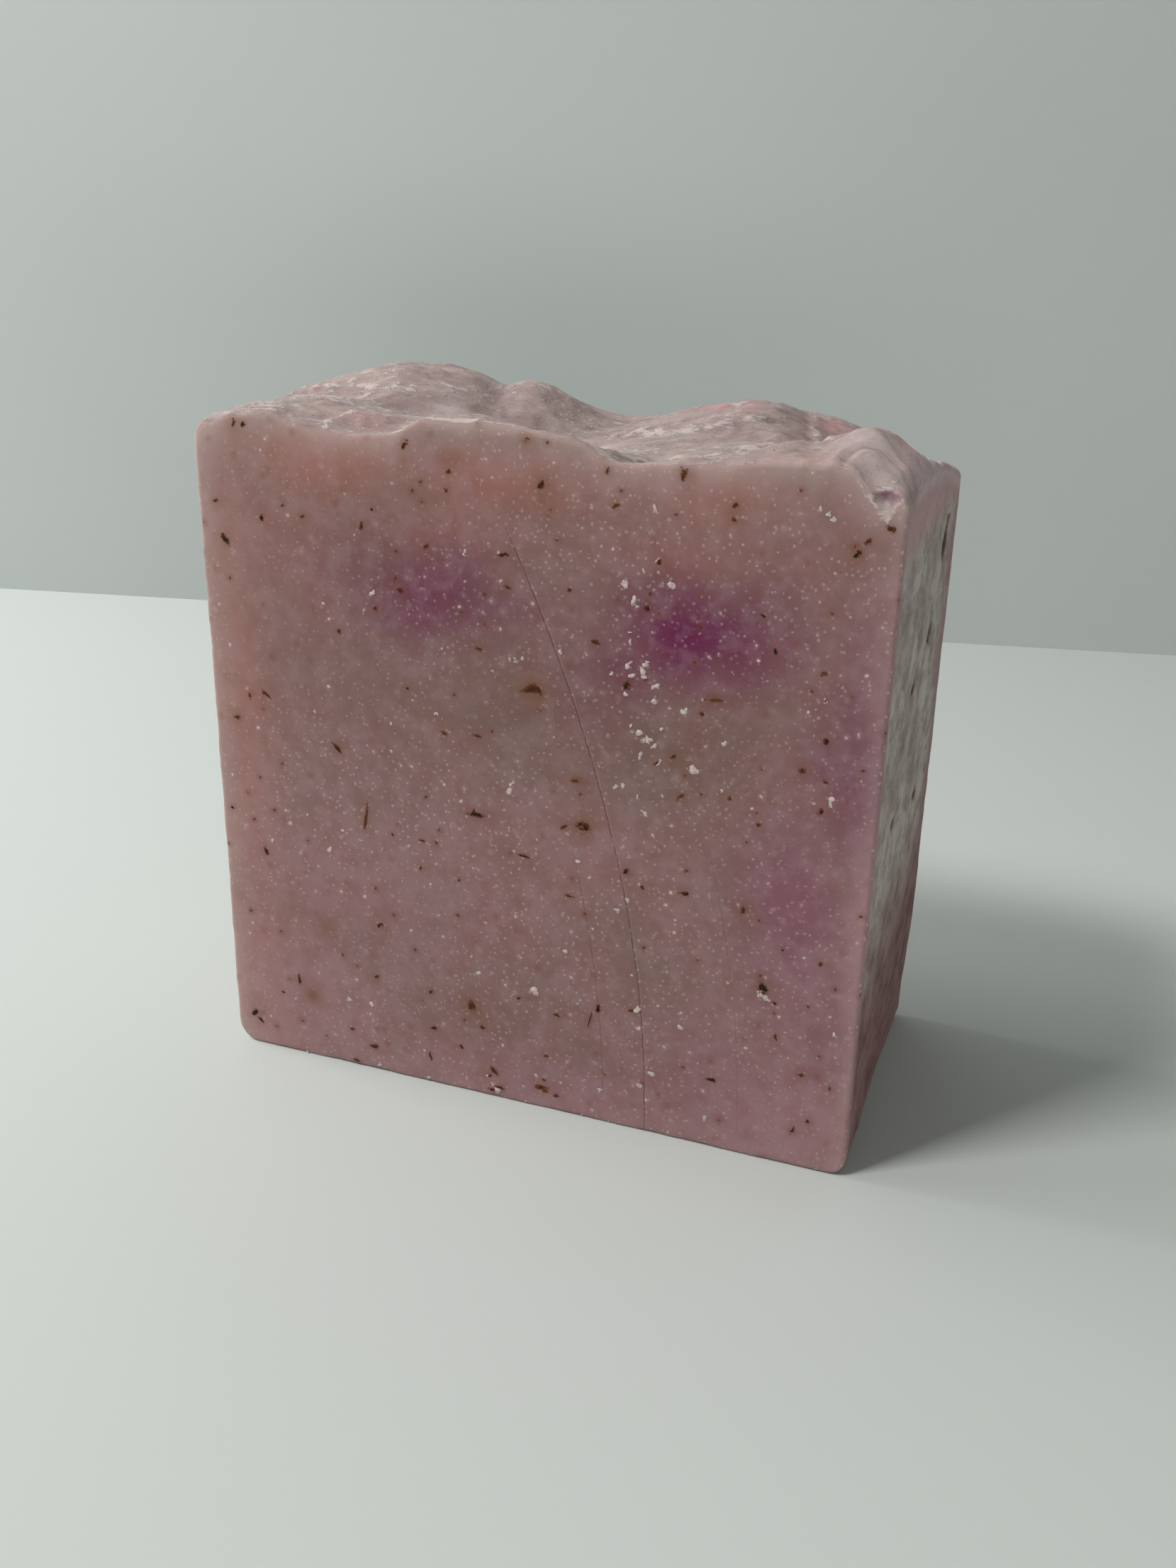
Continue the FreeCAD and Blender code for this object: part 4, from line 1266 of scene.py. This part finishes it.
def pale_crumbs():
    """Crumbs of soap and grain: on the front cut where they show, and strewn along its
    foot."""
    x, z, half = np.array(CRUMBS).T
    front = np.stack([x, front_depth(x, z) + 0.03, z], -1)
    random = np.random.default_rng(8)
    foot = [random.uniform(low, high, FOOT_CRUMBS)
            for low, high in ((2.5, 68), (0.25, 0.7), (0.12, 0.75))]
    foot_half = random.uniform(0.08, 0.22, FOOT_CRUMBS)

    centres = np.concatenate([front, np.stack(foot, -1)])
    way = np.concatenate([np.tile([[0.0, -1.0, 0.0]], (len(x), 1)),
                          np.tile([[0.0, -0.8, -0.6]], (FOOT_CRUMBS, 1))])
    half = np.concatenate([half, foot_half])
    flat = np.concatenate([np.full(len(x), CRUMB_THICKNESS), foot_half * 0.6])
    breadth = half * random.uniform(0.5, 0.9, len(half))
    halves = np.stack([half, breadth, np.minimum(flat, half)], -1)
    spins = random.uniform(0, math.pi, len(half))
    points, quads, _ = lumps(centres, halves, facing_turns(way, spins), 22)
    piece = mesh_object("pale_crumbs", points, quads)
    piece.data.materials.append(crumb_material())
    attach(piece, "root")


# The camera: its place in millimetres in the bar's frame, its turn, tilt and roll in
# degrees, and its focal length in pixels of the 1659 by 2212 frame
CAMERA_PLACE = (55.38, -150.26, 99.24)
CAMERA_TURN, CAMERA_TILT, CAMERA_ROLL = -19.998, 23.160, 1.107
FOCAL_PIXELS = 2250.0
FRAME_WIDTH, FRAME_HEIGHT = 1659, 2212
SENSOR_HEIGHT = 24.0

# Where the backdrop meets the floor, at the frame's left and right edges, in pixels
BACKDROP_FOOT = ((0, 830), (1659, 925))

# Half the floor's side, and how far the backdrop runs past the frame and up
FLOOR_REACH, BACKDROP_REACH = 900, 700


def camera_axes():
    """The camera's right, up and forward directions from its turn, tilt and roll."""
    turn, tilt, roll = (math.radians(angle) for angle in (CAMERA_TURN, CAMERA_TILT, CAMERA_ROLL))
    forward = np.array([math.sin(turn) * math.cos(tilt), math.cos(turn) * math.cos(tilt),
                        -math.sin(tilt)])
    level = np.array([math.cos(turn), -math.sin(turn), 0.0])
    above = np.cross(level, forward)
    right = math.cos(roll) * level + math.sin(roll) * above
    up = math.cos(roll) * above - math.sin(roll) * level
    return right, up, forward


def add_camera():
    camera = bpy.data.cameras.new("view")
    camera.sensor_fit = "VERTICAL"
    camera.sensor_height = SENSOR_HEIGHT
    camera.lens = FOCAL_PIXELS / FRAME_HEIGHT * SENSOR_HEIGHT
    camera.clip_start = 0.01
    viewer = bpy.data.objects.new("view", camera)
    right, up, forward = camera_axes()
    turn = np.eye(4)
    turn[:3, 0], turn[:3, 1], turn[:3, 2] = right, up, -forward
    turn[:3, 3] = np.array(CAMERA_PLACE) * MM
    viewer.matrix_world = Matrix(turn)
    bpy.context.scene.collection.objects.link(viewer)
    bpy.context.scene.camera = viewer


def floor_point(pixel):
    """The floor's point, in millimetres, that a pixel of the frame looks at."""
    right, up, forward = camera_axes()
    way = (forward + (pixel[0] - FRAME_WIDTH / 2) / FOCAL_PIXELS * right
           - (pixel[1] - FRAME_HEIGHT / 2) / FOCAL_PIXELS * up)
    return np.array(CAMERA_PLACE) + way * (-CAMERA_PLACE[2] / way[2])


def plain_sheet(name, corners, colour):
    """A flat sheet of the studio, softly clouded towards one pale grey."""
    mesh = bpy.data.meshes.new(name)
    mesh.from_pydata([tuple(np.array(corner) * MM) for corner in corners], [], [(0, 1, 2, 3)])
    piece = bpy.data.objects.new(name, mesh)
    bpy.context.scene.collection.objects.link(piece)
    shade = Shade(name)
    soft = shade.noise(shade.places(), 90.0, 2.0)
    paint = shade.mix(soft * 0.25, colour, tone(205, 210, 206))
    finished = shade.finish(Base_Color=paint, Roughness=0.8, Specular_IOR_Level=0.2)
    piece.data.materials.append(finished)


def studio():
    """A pale floor, and a pale backdrop that stands on the line where the photograph
    shows the floor end."""
    far = FLOOR_REACH
    corners = ((-far, -far, 0), (far, -far, 0), (far, far, 0), (-far, far, 0))
    plain_sheet("floor", corners, tone(200, 205, 202))
    left, right = (floor_point(pixel) for pixel in BACKDROP_FOOT)
    past = (right - left) / np.linalg.norm(right - left) * BACKDROP_REACH
    left, right = left - past, right + past
    high = np.array([0, 0, BACKDROP_REACH])
    plain_sheet("backdrop", (left, right, right + high, left + high), tone(180, 186, 184))


# Each light: its place and what it aims at, in millimetres in the bar's frame, then its
# width and height, its power in watts and its colour
LIGHTS = {
    "window": ((-238, -262, 574), (0, 0, 30), (136, 136), 2.42, (1.0, 0.99, 0.97)),
    "fill": ((250, -520, 60), (0, 0, 30), (420, 100), 0.9, (1.0, 0.96, 0.96)),
    "room": ((-600, 40, 300), (0, 110, 60), (560, 420), 2.0, (1.0, 1.0, 1.0)),
    "doorway": ((-420, 10, 280), (-150, 110, 190), (150, 150), 0.85, (1.0, 1.0, 1.0)),
}
AROUND_COLOUR, AROUND_STRENGTH = (0.93, 0.95, 0.92, 1), 0.16


def lights():
    """A soft light from the upper left in front, a weak fill from the front, a broad glow
    from the left, a small one on the backdrop's left, and a pale room all round."""
    for name, (place, aim, size, power, colour) in LIGHTS.items():
        light = bpy.data.lights.new(name, "AREA")
        light.shape = "RECTANGLE"
        light.size, light.size_y = (side * MM for side in size)
        light.energy = power
        light.color = colour
        lamp = bpy.data.objects.new(name, light)
        lamp.location = np.array(place) * MM
        way = Vector(np.array(aim) - np.array(place))
        lamp.rotation_euler = way.to_track_quat("-Z", "Y").to_euler()
        bpy.context.scene.collection.objects.link(lamp)
    world = bpy.data.worlds.new("room")
    world.use_nodes = True
    background = world.node_tree.nodes["Background"]
    background.inputs["Color"].default_value = AROUND_COLOUR
    background.inputs["Strength"].default_value = AROUND_STRENGTH
    bpy.context.scene.world = world


soap_bar_piece()
herb_flecks()
pale_crumbs()
studio()
lights()
add_camera()
bpy.context.scene.view_settings.view_transform = "Standard"
